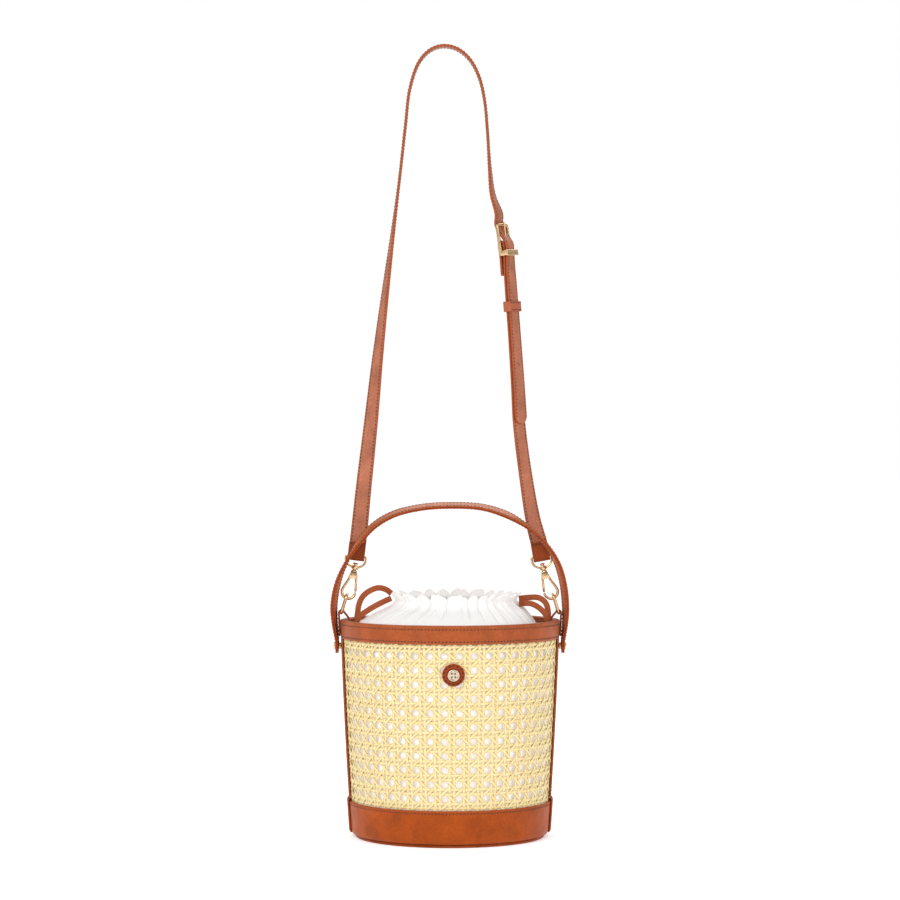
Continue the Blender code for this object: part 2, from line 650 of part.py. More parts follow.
# ---------------------------------------------------------------- crossbody strap
def buckle_place():
    """Placement of the buckle: +X across the strap, +Y out of its face, +Z down the strap."""
    lean, azimuth = math.radians(BUCKLE_LEAN), math.radians(BUCKLE_AZIMUTH)
    down = Vector((math.sin(lean), 0.0, -math.cos(lean)))
    across = Vector((math.cos(azimuth), math.sin(azimuth), 0.0))
    across = (across - down * across.dot(down)).normalized()
    return axis_place(BUCKLE_CENTRE, across, across.cross(down), down)


def buckle_point(drop, out):
    """Strap point in the buckle's own frame: a distance down the strap and out of its face."""
    place = buckle_place()
    across = place.to_3x3().col[0]
    azimuth, tilt = math.atan2(across.y, across.x), math.asin(across.z)
    return (*(place @ Vector((0.0, out, drop))), math.degrees(azimuth), math.degrees(tilt))


def layer_below(point, depth):
    """The same strap point on a layer further behind the tail."""
    x, y, z, azimuth = point
    out = Vector((-math.sin(math.radians(azimuth)), math.cos(math.radians(azimuth)), 0.0))
    return (x - out.x * depth, y - out.y * depth, z, azimuth)


def end_point(side, above, behind):
    """Point on a sewn strap end: a distance up from its loop's bar and behind it."""
    _, bar, up = loop_frame(side)
    azimuth = 0 if side == "left" else -180
    return (*(bar + up * above + Vector((0.0, behind, 0.0))), azimuth, -LOOP_TILT[side])


def fold_radius(side):
    return LOOP_WIRE + GAP + FOLD_PLAY[side] + STRAP / 2


def fold_round_bar(side):
    """Strap points round a loop's bar, from the face of the strap to its back."""
    found = []
    for turn in (0, 40, 90, 140, 180):
        angle = math.radians(turn)
        found.append(end_point(side, -fold_radius(side) * math.sin(angle),
                               -fold_radius(side) * math.cos(angle)))
    return found


TAIL = [(0.0530, -0.0010, 0.4960, -121), (0.0542, 0.0, 0.4800, -124), (0.0555, 0.0, 0.4625, -125),
        (0.0572, 0.0, 0.4400, -126), (0.0602, 0.0, 0.3950, -131), (0.0622, 0.0, 0.3600, -136)]


def strap_long():
    """From the left loop over the shoulder, through the buckle and keeper, to the free tail."""
    bar = loop_frame("left")[1]
    radius = fold_radius("left")
    points = [end_point("left", 0.0150, radius), end_point("left", 0.0050, radius)]
    points += reversed(fold_round_bar("left"))
    points += [end_point("left", 0.0060, -radius), (bar.x + 0.0024, -0.0012, 0.2640, -4),
               (-0.0754, 0.0, 0.3050, -20), (-0.0688, 0.0, 0.3640, -36),
               (-0.0631, 0.0, 0.4190, -52), (-0.0566, 0.0, 0.4740, -67),
               (-0.0497, 0.0, 0.5290, -81), (-0.0440, 0.0, 0.5750, -88),
               (-0.0390, 0.0, 0.6200, -90), (-0.0350, 0.0, 0.6530, -90),
               (-0.0270, 0.0, 0.6760, -90), (-0.0170, 0.0, 0.6865, -90),
               (-0.0060, 0.0, 0.6900, -90), (0.0065, 0.0, 0.6873, -90),
               (0.0175, 0.0, 0.6780, -90), (0.0256, 0.0, 0.6625, -90),
               (0.0303, 0.0, 0.6420, -90), (0.0328, 0.0, 0.6150, -91),
               (0.0347, 0.0, 0.5850, -96), (0.0374, 0.0, 0.5600, -106)]
    points += [buckle_point(drop, out) for drop, out in (
        (-0.0230, -0.0010), (-0.0135, -0.0026), (-0.0045, 0.0010), (0.0040, 0.0048),
        (FRONT_BAR_DROP, FRONT_BAR_PASS))]
    points += TAIL
    item = strap("strap_long", points, STRAP_WIDTH, STRAP, leather("strap_long", 1.15), 3,
                 round_ends=(False, True), pivot=bar)
    slot = box("tongue_slot", (-0.0015, -0.0002, -0.0072), (0.0015, 0.0070, 0.0027), None,
               buckle_place(), bar)
    boolean(item, slot, "DIFFERENCE")
    for number, target in enumerate((0.4960, 0.4400)):
        point = next(p for p in TAIL if p[2] == target)
        centre = Vector(point[:3])
        azimuth = math.radians(point[3])
        out = Vector((-math.sin(azimuth), math.cos(azimuth), 0.0))
        up = Vector((0.0, 0.0, 1.0))
        punch = solid_of_revolution(f"punch_{number}", [(0.0010, -0.0018), (0.0010, 0.0013)], None,
                                    axis_place(centre, up.cross(out), up, out), 8, bar)
        boolean(item, punch, "DIFFERENCE")


def strap_short():
    """Sewn round the buckle's hinge bar at the top and round the right loop's bar below."""
    around = HINGE_BAR + GAP + STRAP / 2
    points = [buckle_point(drop, out)
              for drop, out in ((0.0310, -0.0038), (0.0230, -0.0031), (0.0120, -around))]
    for turn in (0, 40, 90, 140, 180):
        angle = math.radians(turn)
        points.append(buckle_point(HINGE_BAR_DROP - around * math.sin(angle),
                                   -around * math.cos(angle)))
    points.append(buckle_point(FRONT_BAR_DROP, FRONT_BAR_PASS - LAYER))
    points += [layer_below(point, LAYER) for point in TAIL]
    radius = fold_radius("right")
    points += [(0.0664, 0.0006, 0.3130, -142), (0.0728, 0.0, 0.2750, -158),
               end_point("right", 0.0110, -0.0026), end_point("right", 0.0045, -radius)]
    points += fold_round_bar("right")
    points += [end_point("right", 0.0050, radius), end_point("right", 0.0165, radius)]
    item = strap("strap_short", points, STRAP_WIDTH, STRAP, leather("strap_short", 1.15), 3,
                 pivot=loop_frame("left")[1])
    notch = box("tongue_notch", (-0.0018, -0.0045, HINGE_BAR_DROP - 0.0045),
                (0.0018, 0.0045, HINGE_BAR_DROP + 0.0026), None, buckle_place(),
                loop_frame("left")[1])
    boolean(item, notch, "DIFFERENCE")


def buckle():
    """Rectangular frame with a hinge bar behind the strap and a loop bar in front of it."""
    place = buckle_place()
    rotation = place.to_3x3()
    out = rotation.col[1]
    pivot = loop_frame("left")[1]
    top = [(x, z) for x, z in rounded_loop(BUCKLE_HALF_WIDTH, BUCKLE_HALF_HEIGHT, 0.0020, 2)
           if z < 0.0]
    foot = FRONT_BAR_DROP + 0.0016
    loop = [(-BUCKLE_HALF_WIDTH, foot), *top, (BUCKLE_HALF_WIDTH, foot)]
    sections = []
    for i, (x, z) in enumerate(loop):
        ahead, behind = Vector(loop[min(i + 1, len(loop) - 1)]), Vector(loop[max(i - 1, 0)])
        along = (ahead - behind).normalized()
        side = Vector((along.y, -along.x)) * 0.0010
        sections.append([place @ Vector((x + sx * side.x, y, z + sx * side.y))
                         for sx, y in ((-1, -0.0012), (1, -0.0012), (1, 0.0014), (-1, 0.0014))])
    frame = skin("buckle_frame", sections, False, gold("buckle_frame"), pivot)
    across = axis_place(place @ Vector((0.0, 0.0, HINGE_BAR_DROP)), out, rotation.col[2],
                        rotation.col[0])
    reach = BUCKLE_HALF_WIDTH
    bar = solid_of_revolution("hinge_bar", [(HINGE_BAR, -reach), (HINGE_BAR, reach)], None, across,
                              12, pivot)
    boolean(frame, bar, "UNION")
    low, high = FRONT_BAR_DROP - 0.0027, FRONT_BAR_DROP + 0.0027
    face = FRONT_BAR_PASS + STRAP / 2 + 2 * GAP
    for name, corner_low, corner_high in (
            ("front_bar", (-reach - 0.0013, face, low), (reach + 0.0013, face + 0.0010, high)),
            ("near_post", (-reach - 0.0011, 0.0004, low + 0.0006), (-reach + 0.0011, face + 0.0005,
                                                                    high - 0.0006)),
            ("far_post", (reach - 0.0011, 0.0004, low + 0.0006), (reach + 0.0011, face + 0.0005,
                                                                  high - 0.0006))):
        boolean(frame, box(name, corner_low, corner_high, None, place, pivot), "UNION")


def tongue():
    """Pin of the buckle, with an eye round the hinge bar."""
    place = buckle_place()
    rotation = place.to_3x3()
    hinge = place @ Vector((0.0, 0.0, HINGE_BAR_DROP))
    across = axis_place(hinge, rotation.col[1], rotation.col[2], rotation.col[0])
    inner, outer, half = HINGE_BAR + 0.00025, HINGE_BAR + 0.0010, 0.0012
    profile = [(inner, -half), (outer, -half), (outer, half), (inner, half)]
    angles_step = 24
    sections = []
    for i in range(360 // angles_step):
        angle = math.radians(angles_step * i)
        sections.append([across @ Vector((r * math.cos(angle), r * math.sin(angle), z))
                         for r, z in profile])
    eye = skin("buckle_tongue", sections, True, gold("buckle_tongue"), hinge)
    start = place @ Vector((0.0, 0.0018, HINGE_BAR_DROP - 0.0012))
    end = place @ Vector((0.0, 0.0027, -BUCKLE_HALF_HEIGHT - 0.0022))
    pin = wire("tongue_pin", [start, end], TONGUE, rotation.col[0], pivot=hinge)
    boolean(eye, pin, "UNION")


def keeper():
    """Leather loop that holds the tail against the short strap."""
    samples = spline([(*point, 0.0) for point in TAIL], 12)
    nearest = min(range(len(samples)), key=lambda i: abs(samples[i][2] - KEEPER_HEIGHT))
    centre, across, out = frames(samples)[nearest]
    down = out.cross(across)
    middle = centre - out * (LAYER / 2)
    half_x = STRAP_WIDTH / 2 + GAP + LEATHER / 2 + 0.0003
    half_y = STRAP + GAP / 2 + GAP + LEATHER / 2 + 0.0003
    sections = []
    for x, y in rounded_loop(half_x, half_y, 0.0009, 2):
        point = middle + across * x + out * y
        away = (across * (x / half_x) ** 5 + out * (y / half_y) ** 5).normalized()
        sections.append([point + away * (LEATHER / 2) * s + down * (KEEPER_WIDTH / 2) * t
                         for s, t in ((-1, -1), (1, -1), (1, 1), (-1, 1))])
    skin("keeper", sections, True, leather("keeper", 1.05), middle)


def main():
    clear_scene()
    base_parts()
    cane_panels()
    side_strips()
    rim_parts()
    liner_parts()
    drawcords()
    medallion()
    handle()
    handle_studs()
    ring_tabs()
    rings()
    hooks()
    strap_loops()
    strap_long()
    strap_short()
    buckle()
    tongue()
    keeper()


main()
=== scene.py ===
"""Looks of the bucket bag: woven cane body, stitched leather, cotton liner and gold hardware.

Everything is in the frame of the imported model, in metres, +Z up, front towards -Y. Angles round the
body are in degrees from the front, positive towards +X.
"""

import math
import random

import bmesh
import bpy
import numpy as np
from mathutils import Matrix, Vector


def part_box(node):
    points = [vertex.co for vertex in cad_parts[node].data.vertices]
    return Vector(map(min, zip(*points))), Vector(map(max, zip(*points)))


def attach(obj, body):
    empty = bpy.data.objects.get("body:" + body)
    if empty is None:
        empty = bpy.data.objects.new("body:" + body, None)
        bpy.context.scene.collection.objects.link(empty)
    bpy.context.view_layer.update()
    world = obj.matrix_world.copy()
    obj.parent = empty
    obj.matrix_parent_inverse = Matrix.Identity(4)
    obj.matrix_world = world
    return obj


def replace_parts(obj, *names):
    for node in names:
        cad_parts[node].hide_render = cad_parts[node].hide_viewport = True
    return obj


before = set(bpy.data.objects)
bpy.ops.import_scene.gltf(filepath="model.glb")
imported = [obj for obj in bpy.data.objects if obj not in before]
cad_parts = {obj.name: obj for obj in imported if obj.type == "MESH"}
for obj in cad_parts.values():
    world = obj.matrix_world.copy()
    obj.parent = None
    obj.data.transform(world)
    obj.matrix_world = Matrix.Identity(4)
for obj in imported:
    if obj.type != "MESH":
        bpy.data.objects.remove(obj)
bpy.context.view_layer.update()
chance = random.Random(11)

# ---------------------------------------------------------------- sizes shared with the model
GAP = 0.0003
LEATHER = 0.0014
STRAP = 0.0020
STRAP_WIDTH = 0.0146
LAYER = STRAP + 0.0005
BODY_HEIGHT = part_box("rim_band")[1].z
RIM_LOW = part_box("rim_band")[0].z
BASE_BAND_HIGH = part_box("base_band")[1].z
BASE_CORNER = 0.008
STRIP_HALF_ANGLE = 8.9
MEDALLION_HEIGHT = 0.1475
MEDALLION_TURN = 1.8
HANDLE_PIVOT = 0.166
HANDLE_LEAN = 10.0
LOOP_BAR_HEIGHT = 0.2443
STITCH_PITCH = 0.0030
THREAD_SINK = 0.00014
BAR_CLEARANCE = 0.0058
STRIP_RADIUS = 0.09          # nominal radius for measuring along the side strips
SIGN = {"left": -1.0, "right": 1.0}


def wall(height):
    """Outer radius of the cane wall; works on numbers and arrays."""
    return 0.0846 + 0.050 * height + 0.0009 * (1.0 - ((height - 0.100) / 0.090) ** 2)


def corner(height):
    """How far the base band has turned in at this height."""
    below = np.maximum(0.0, BASE_CORNER - height)
    return BASE_CORNER - np.sqrt(BASE_CORNER ** 2 - below ** 2)


def unit(vectors):
    return vectors / np.linalg.norm(vectors, axis=-1, keepdims=True)


def polar(angle, radius, height):
    """Points round the body; the angle is in degrees from the front."""
    turn = np.radians(angle)
    return np.stack(np.broadcast_arrays(radius * np.sin(turn), -radius * np.cos(turn), height), -1)


def moved(points, place):
    """Points carried into a placement, which may be None for none."""
    if place is None:
        return points
    matrix = np.array(place)
    return points @ matrix[:3, :3].T + matrix[:3, 3]


# ---------------------------------------------------------------- materials
def shader(name, roughness=0.5, metallic=0.0):
    surface = bpy.data.materials.new(name)
    surface.use_nodes = True
    principled = surface.node_tree.nodes["Principled BSDF"]
    principled.inputs["Roughness"].default_value = roughness
    principled.inputs["Metallic"].default_value = metallic
    return surface, surface.node_tree, principled


def add(tree, kind, inputs=None, **settings):
    """Add a node; an input takes a number, a colour or another node's output."""
    item = tree.nodes.new("ShaderNode" + kind)
    for key, value in settings.items():
        setattr(item, key, value)
    for key, value in (inputs or {}).items():
        if isinstance(value, bpy.types.NodeSocket):
            tree.links.new(value, item.inputs[key])
        else:
            item.inputs[key].default_value = value
    return item


def ramp(tree, factor, *stops):
    """Colour ramp from (position, colour) stops."""
    item = add(tree, "ValToRGB", {"Fac": factor})
    elements = item.color_ramp.elements
    while len(elements) < len(stops):
        elements.new(0.5)
    for element, (position, colour) in zip(elements, stops):
        element.position = position
        element.color = (*colour, 1.0) if len(colour) == 3 else colour
    return item.outputs["Color"]


def grey(value):
    return (value, value, value)


def blend_colours(tree, factor, first, second, mode="MIX"):
    item = add(tree, "Mix", data_type="RGBA", blend_type=mode)
    for index, value in ((0, factor), (6, first), (7, second)):
        if isinstance(value, bpy.types.NodeSocket):
            tree.links.new(value, item.inputs[index])
        elif index:
            item.inputs[index].default_value = (*value, 1.0)
        else:
            item.inputs[index].default_value = value
    return item.outputs[2]


def maths(tree, operation, first, second=0.0):
    item = add(tree, "Math", operation=operation)
    for index, value in enumerate((first, second)):
        if isinstance(value, bpy.types.NodeSocket):
            tree.links.new(value, item.inputs[index])
        else:
            item.inputs[index].default_value = value
    return item.outputs[0]


def relief(tree, height, strength, distance, below=None):
    inputs = {"Height": height, "Strength": strength, "Distance": distance}
    if below:
        inputs["Normal"] = below
    return add(tree, "Bump", inputs).outputs["Normal"]


def position(tree):
    return add(tree, "TexCoord").outputs["Object"]


def noise(tree, place, scale, detail=2.0, **more):
    return add(tree, "TexNoise", {"Vector": place, "Scale": scale, "Detail": detail,
                                  **more}).outputs["Fac"]


def attribute(tree, name):
    return add(tree, "Attribute", attribute_name=name).outputs["Fac"]


def shades(colour, *factors):
    return [tuple(min(1.0, channel * factor) for channel in colour) for factor in factors]


EDGE_PAINT = (0.340, 0.064, 0.015)
LEATHER_GLOSS = 0.14


def leather(name, colour, roughness=0.42, grain=1.0):
    """Smooth cowhide: mottled dye, pebble grain with painted shade in its crease lines, fine pores and
    dark painted edges.
    """
    surface, tree, out = shader(name)
    place = position(tree)
    clouds = noise(tree, place, 55.0, 5.0, Roughness=0.6)
    low, middle, high = shades(colour, 0.74, 1.0, 1.22)
    dye = ramp(tree, clouds, (0.28, low), (0.52, middle), (0.76, high))
    streaks = noise(tree, place, 520.0, 3.0)
    dye = blend_colours(tree, 0.28, dye, ramp(tree, streaks, (0.35, grey(0.45)), (0.65, grey(1.0))),
                        "MULTIPLY")
    cells = add(tree, "TexVoronoi", {"Vector": place, "Scale": 1250.0, "Randomness": 0.9},
                feature="DISTANCE_TO_EDGE").outputs["Distance"]
    # Painted shade: the grain's crease lines are darkened a little in the colour.
    creases = ramp(tree, cells, (0.0, grey(0.0)), (0.16, grey(1.0)))
    dye = blend_colours(tree, 0.16, dye, creases, "MULTIPLY")
    edge = attribute(tree, "edge")
    wear = noise(tree, place, 260.0, 4.0)
    paint = maths(tree, "MULTIPLY", edge, maths(tree, "ADD", wear, 0.45))
    tree.links.new(blend_colours(tree, paint, dye, EDGE_PAINT), out.inputs["Base Color"])
    polish = ramp(tree, streaks, (0.3, grey(roughness - 0.07)), (0.7, grey(roughness + 0.09)))
    tree.links.new(polish, out.inputs["Roughness"])
    folds = noise(tree, place, 190.0, 4.0)
    normal = relief(tree, folds, 0.35, 0.0006)
    normal = relief(tree, creases, 0.30 * grain, 0.00014, normal)
    normal = relief(tree, streaks, 0.25 * grain, 0.0002, normal)
    tree.links.new(normal, out.inputs["Normal"])
    out.inputs["Specular IOR Level"].default_value = LEATHER_GLOSS
    return surface


def gold(name, roughness=0.20, colour=(0.76, 0.52, 0.28)):
    """Pale gold plate with soft clouding and fine polishing lines."""
    surface, tree, out = shader(name, roughness, 1.0)
    place = position(tree)
    clouds = noise(tree, place, 320.0, 4.0)
    tint = ramp(tree, clouds, (0.3, shades(colour, 0.90)[0]), (0.7, shades(colour, 1.07)[0]))
    tree.links.new(tint, out.inputs["Base Color"])
    stretched = add(tree, "Mapping", {"Vector": place, "Scale": (1.0, 1.0, 0.12)}).outputs["Vector"]
    lines = noise(tree, stretched, 5200.0, 2.0)
    gloss = ramp(tree, lines, (0.3, grey(roughness - 0.05)), (0.7, grey(roughness + 0.08)))
    tree.links.new(gloss, out.inputs["Roughness"])
    tree.links.new(relief(tree, lines, 0.05, 0.0001), out.inputs["Normal"])
    return surface


def thread(name, colour):
    """Waxed twisted thread."""
    surface, tree, out = shader(name, 0.55)
    place = position(tree)
    twist = noise(tree, place, 3200.0, 3.0)
    low, high = shades(colour, 0.6, 1.5)
    tree.links.new(ramp(tree, twist, (0.35, low), (0.65, high)), out.inputs["Base Color"])
    tree.links.new(relief(tree, twist, 0.4, 0.0002), out.inputs["Normal"])
    return surface


COTTON_WHITE = (0.86, 0.855, 0.84)
# Painted light: colour and strengths of the emission that lights up the cotton, which is no lamp.
COTTON_PAINTED_LIGHT = (1.0, 0.985, 0.955, 1.0)
CUP_PAINTED_LIGHT, FRILL_PAINTED_LIGHT = 0.33, 0.13


def cotton(name):
    """Plain-woven cotton: threads over and under, slubs and creases, plus painted light: emission lights
    up the cup behind the cane and the top of the frill.
    """
    surface, tree, out = shader(name, 0.92)
    place = position(tree)
    cloth = add(tree, "UVMap").outputs["UV"]
    threads = []
    for direction in ("X", "Y"):
        threads.append(add(tree, "TexWave", {"Vector": cloth, "Scale": 420.0, "Distortion": 0.6,
                                             "Detail": 1.0, "Detail Scale": 3.0},
                           bands_direction=direction).outputs["Fac"])
    weave = maths(tree, "MULTIPLY", threads[0], threads[1])
    slubs = noise(tree, place, 700.0, 4.0)
    creases = noise(tree, place, 85.0, 5.0, Distortion=0.8)
    shade = blend_colours(tree, 0.10, COTTON_WHITE, ramp(tree, weave, (0.0, grey(0.55)), (0.5, grey(1.0))),
                          "MULTIPLY")
    shade = blend_colours(tree, 0.10, shade, ramp(tree, slubs, (0.3, grey(0.7)), (0.7, grey(1.0))),
                          "MULTIPLY")
    tree.links.new(shade, out.inputs["Base Color"])
    normal = relief(tree, creases, 0.45, 0.0016)
    normal = relief(tree, slubs, 0.25, 0.0002, normal)
    tree.links.new(relief(tree, weave, 0.35, 0.0001, normal), out.inputs["Normal"])
    # Painted light: emission on the outward face of the cup below the shoulder, and near the top of the
    # frill.
    height = add(tree, "SeparateXYZ", {"Vector": place}).outputs["Z"]
    painted_cup_light = add(tree, "MapRange", {"Value": height, "From Min": 0.178, "From Max": 0.160,
                                  "To Min": 0.0, "To Max": CUP_PAINTED_LIGHT}).outputs["Result"]
    facing = add(tree, "VectorMath", {0: add(tree, "TexCoord").outputs["Normal"], 1: place},
                 operation="DOT_PRODUCT").outputs["Value"]
    outside = add(tree, "MapRange", {"Value": facing, "From Min": 0.01,
                                     "From Max": 0.06}).outputs["Result"]
    painted_frill_light = add(tree, "MapRange", {"Value": height, "From Min": 0.199, "From Max": 0.208,
                                       "To Min": 0.0, "To Max": FRILL_PAINTED_LIGHT}).outputs["Result"]
    tree.links.new(maths(tree, "ADD", maths(tree, "MULTIPLY", painted_cup_light, outside), painted_frill_light),
                   out.inputs["Emission Strength"])
    out.inputs["Emission Color"].default_value = COTTON_PAINTED_LIGHT
    out.inputs["Sheen Weight"].default_value = 0.15
    out.inputs["Sheen Roughness"].default_value = 0.6
    return surface


CANE_COLOUR, CANE_PALE = (0.80, 0.640, 0.290), (0.84, 0.74, 0.46)
CANE_SPOT, CANE_PAINTED_SHADE = (0.72, 0.52, 0.22), (0.42, 0.22, 0.05)


def cane_fibre(name):
    """Split cane: long fibre lines, a different tone for each strand, and painted shade: browner towards
    its sides and underside.
    """
    surface, tree, out = shader(name)
    strand = add(tree, "UVMap").outputs["UV"]
    along = add(tree, "Mapping", {"Vector": strand, "Scale": (60.0, 5200.0, 1.0)}).outputs["Vector"]
    fibre = noise(tree, along, 1.0, 4.0)
    low, middle, high = shades(CANE_COLOUR, 0.80, 1.0, 1.08)
    body = ramp(tree, fibre, (0.25, low), (0.5, middle), (0.8, high))
    tone = attribute(tree, "tone")
    body = blend_colours(tree, tone, body, CANE_PALE)
    spots = noise(tree, position(tree), 240.0, 4.0)
    body = blend_colours(tree, 0.35, body, ramp(tree, spots, (0.30, CANE_SPOT),
                                                (0.46, grey(1.0))), "MULTIPLY")
    # Painted shade: the strand's sides and underside are mixed towards brown.
    side = attribute(tree, "edge")
    tree.links.new(blend_colours(tree, maths(tree, "MULTIPLY", side, 0.75), body,
                                 CANE_PAINTED_SHADE), out.inputs["Base Color"])
    tree.links.new(ramp(tree, fibre, (0.3, grey(0.40)), (0.7, grey(0.60))), out.inputs["Roughness"])
    tree.links.new(relief(tree, fibre, 0.35, 0.0002), out.inputs["Normal"])
    return surface


def board(name, colour, scale):
    """Pressed fibre board or stiff plastic sheet with a mottled surface."""
    surface, tree, out = shader(name, 0.7)
    specks = noise(tree, position(tree), scale, 5.0)
    low, high = shades(colour, 0.75, 1.15)
    tree.links.new(ramp(tree, specks, (0.3, low), (0.7, high)), out.inputs["Base Color"])
    tree.links.new(relief(tree, specks, 0.3, 0.0003), out.inputs["Normal"])
    return surface


TAN = (0.405, 0.070, 0.005)
TAN_DEEP = (0.340, 0.062, 0.006)
PINK_TAN = (0.460, 0.160, 0.088)
LINING = (0.620, 0.160, 0.058)
HIDE = {
    "band": leather("band_leather", TAN),
    "strip": leather("strip_leather", TAN_DEEP),
    "strap": leather("strap_leather", PINK_TAN, roughness=0.46),
    "handle": leather("handle_leather", (0.520, 0.150, 0.050), roughness=0.44),
    # Painted sheen: the rim uses the band's leather made lighter and pinker, standing for its specular
    # sheen.
    "rim": leather("rim_painted_sheen_leather", (0.415, 0.092, 0.024), roughness=0.38),
    "lining": leather("lining_leather", LINING, roughness=0.6, grain=1.6),
    # Painted shade: dark leather for the strap ends, standing for the shade in the folded end.
    "fold": leather("fold_painted_shade_leather", (0.300, 0.058, 0.012), roughness=0.5),
    # Painted shade: near-black leather that stands for the shade down inside the punched holes.
    "hole_shade": leather("hole_shade_leather", (0.060, 0.018, 0.009), roughness=0.7),
    "lace": leather("lace_leather", (0.400, 0.105, 0.036), roughness=0.5),
    "disc": leather("disc_leather", (0.330, 0.050, 0.012), roughness=0.36),
    # Painted shade: the rim facing is darkened to stand for the shadow inside the rim.
    "facing": leather("facing_painted_shade_leather", (0.270, 0.060, 0.018), roughness=0.6),
}
PLATE = gold("gold_plate")
PALE_PLATE = gold("pale_plate", 0.28, (0.66, 0.55, 0.42))
# Painted shade: near-black plate for the stud's petals, standing for the dark hollows of its emboss.
PETAL_PAINTED_SHADE_PLATE = gold("petal_painted_shade_plate", 0.36, (0.20, 0.11, 0.07))
DARK_THREAD = thread("dark_thread", (0.060, 0.014, 0.005))
CANE = cane_fibre("cane_fibre")
COTTON = cotton("liner_cotton")


# ---------------------------------------------------------------- mesh tools
def finish_object(name, data, surface, body, crease=40.0):
    """Smooth object of one material from mesh data, riding its body if it has one."""
    data.shade_smooth()
    data.set_sharp_from_angle(angle=math.radians(crease))
    data.materials.append(surface)
    item = bpy.data.objects.new(name, data)
    bpy.context.scene.collection.objects.link(item)
    if body:
        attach(item, body)
    return item


def finish_mesh(name, points, quads, triangles, surface, body, uv=None, uv_period=None, values=None,
                crease=40.0):
    """Make an object from vertex and face arrays, give it its attributes and its body."""
    data = bpy.data.meshes.new(name)
    data.vertices.add(len(points))
    data.vertices.foreach_set("co", np.asarray(points, np.float32).ravel())
    corners = np.concatenate([quads.ravel(), triangles.ravel()]).astype(np.int32)
    starts = np.concatenate([np.arange(len(quads)) * 4,
                             len(quads) * 4 + np.arange(len(triangles)) * 3]).astype(np.int32)
    data.loops.add(len(corners))
    data.loops.foreach_set("vertex_index", corners)
    data.polygons.add(len(starts))
    data.polygons.foreach_set("loop_start", starts)
    data.update(calc_edges=True)
    for key, value in (values or {}).items():
        layer = data.attributes.new(key, "FLOAT", "POINT")
        layer.data.foreach_set("value", np.asarray(value, np.float32).ravel())
    if uv is not None:
        flat = np.asarray(uv, float)[quads]
        if uv_period:
            low = flat[..., 0] < flat[..., 0].max(axis=1, keepdims=True) - uv_period / 2
            flat[..., 0] += low * uv_period
        loops = np.concatenate([flat.reshape(-1, 2), np.asarray(uv, float)[triangles].reshape(-1, 2)])
        data.uv_layers.new(name="UVMap").data.foreach_set("uv", loops.astype(np.float32).ravel())
    mesh = bmesh.new()
    mesh.from_mesh(data)
    bmesh.ops.recalc_face_normals(mesh, faces=mesh.faces)
    mesh.to_mesh(data)
    mesh.free()
    return finish_object(name, data, surface, body, crease)


def grid_quads(rows, columns, wrap_rows, wrap_columns):
    r = np.arange(rows if wrap_rows else rows - 1)[:, None]
    c = np.arange(columns if wrap_columns else columns - 1)[None, :]
    r2, c2 = (r + 1) % rows, (c + 1) % columns
    quads = np.stack(np.broadcast_arrays(r * columns + c, r * columns + c2, r2 * columns + c2,
                                         r2 * columns + c), -1)
    return quads.reshape(-1, 4)


def fan(ring):
    """Triangles that close a ring of vertices."""
    return np.array([(ring[0], ring[i], ring[i + 1]) for i in range(1, len(ring) - 1)])


NO_FACES = np.zeros((0, 3), int)


def skin(name, points, surface, body, closed=False, **extra):
    """Closed surface over rings of points, (rings, points per ring, 3), capped unless it meets itself."""
    rings, count = points.shape[:2]
    quads = grid_quads(rings, count, closed, True)
    caps = NO_FACES
    if not closed:
        caps = np.concatenate([fan(list(range(count))), fan(list(range((rings - 1) * count,
                                                                       rings * count)))])
    return finish_mesh(name, points.reshape(-1, 3), quads, caps, surface, body, **extra)


def rounded(outline, radius, steps=4, closed=True):
    """Replace the corners of a 2-D outline by arcs; radius may be one number or one for each corner."""
    points = [np.array(point, float) for point in outline]
    radii = [radius] * len(points) if isinstance(radius, (int, float)) else radius
    found = []
    for i, point in enumerate(points):
        if not closed and i in (0, len(points) - 1):
            found.append(point)
            continue
        back, ahead = points[i - 1] - point, points[(i + 1) % len(points)] - point
        reach = min(radii[i], 0.49 * np.linalg.norm(back), 0.49 * np.linalg.norm(ahead))
        first = point + unit(back) * reach
        last = point + unit(ahead) * reach
        for step in range(steps + 1):
            t = step / steps
            found.append(first * (1 - t) ** 2 + 2 * point * t * (1 - t) + last * t ** 2)
    return np.array(found)


def lathe(name, outline, surface, body, place=None, segments=240, ring=True, **extra):
    """Turn an outline of (radius, height) about Z of the placement."""
    radius, height = np.array(outline, float).T
    turns = np.arange(segments) * 360.0 / segments
    points = polar(turns[:, None], radius[None], height[None])
    if not ring:
        points = points.swapaxes(0, 1)
    return skin(name, moved(points, place), surface, body, closed=ring, **extra)


def between(first, second, knot_a, knot_b, knot):
    return (first * (knot_b - knot) + second * (knot - knot_a)) / (knot_b - knot_a)


def spline(points, steps):
    """Centripetal Catmull-Rom curve through the points."""
    path = [np.array(point, float) for point in points]
    path = [2 * path[0] - path[1], *path, 2 * path[-1] - path[-2]]
    knots = [0.0]
    for first, second in zip(path, path[1:]):
        knots.append(knots[-1] + math.sqrt(np.linalg.norm(second[:3] - first[:3])))
    found = []
    for i in range(1, len(path) - 2):
        p, k = path[i - 1:i + 3], knots[i - 1:i + 3]
        for step in range(steps):
            t = k[1] + (k[2] - k[1]) * step / steps
            a = [between(p[j], p[j + 1], k[j], k[j + 1], t) for j in range(3)]
            b = [between(a[j], a[j + 1], k[j], k[j + 2], t) for j in range(2)]
            found.append(between(b[0], b[1], k[1], k[2], t))
    found.append(path[-2])
    return np.array(found)


def path_lengths(points):
    steps = np.linalg.norm(np.diff(points[:, :3], axis=0), axis=1)
    return np.concatenate([[0.0], np.cumsum(steps)])


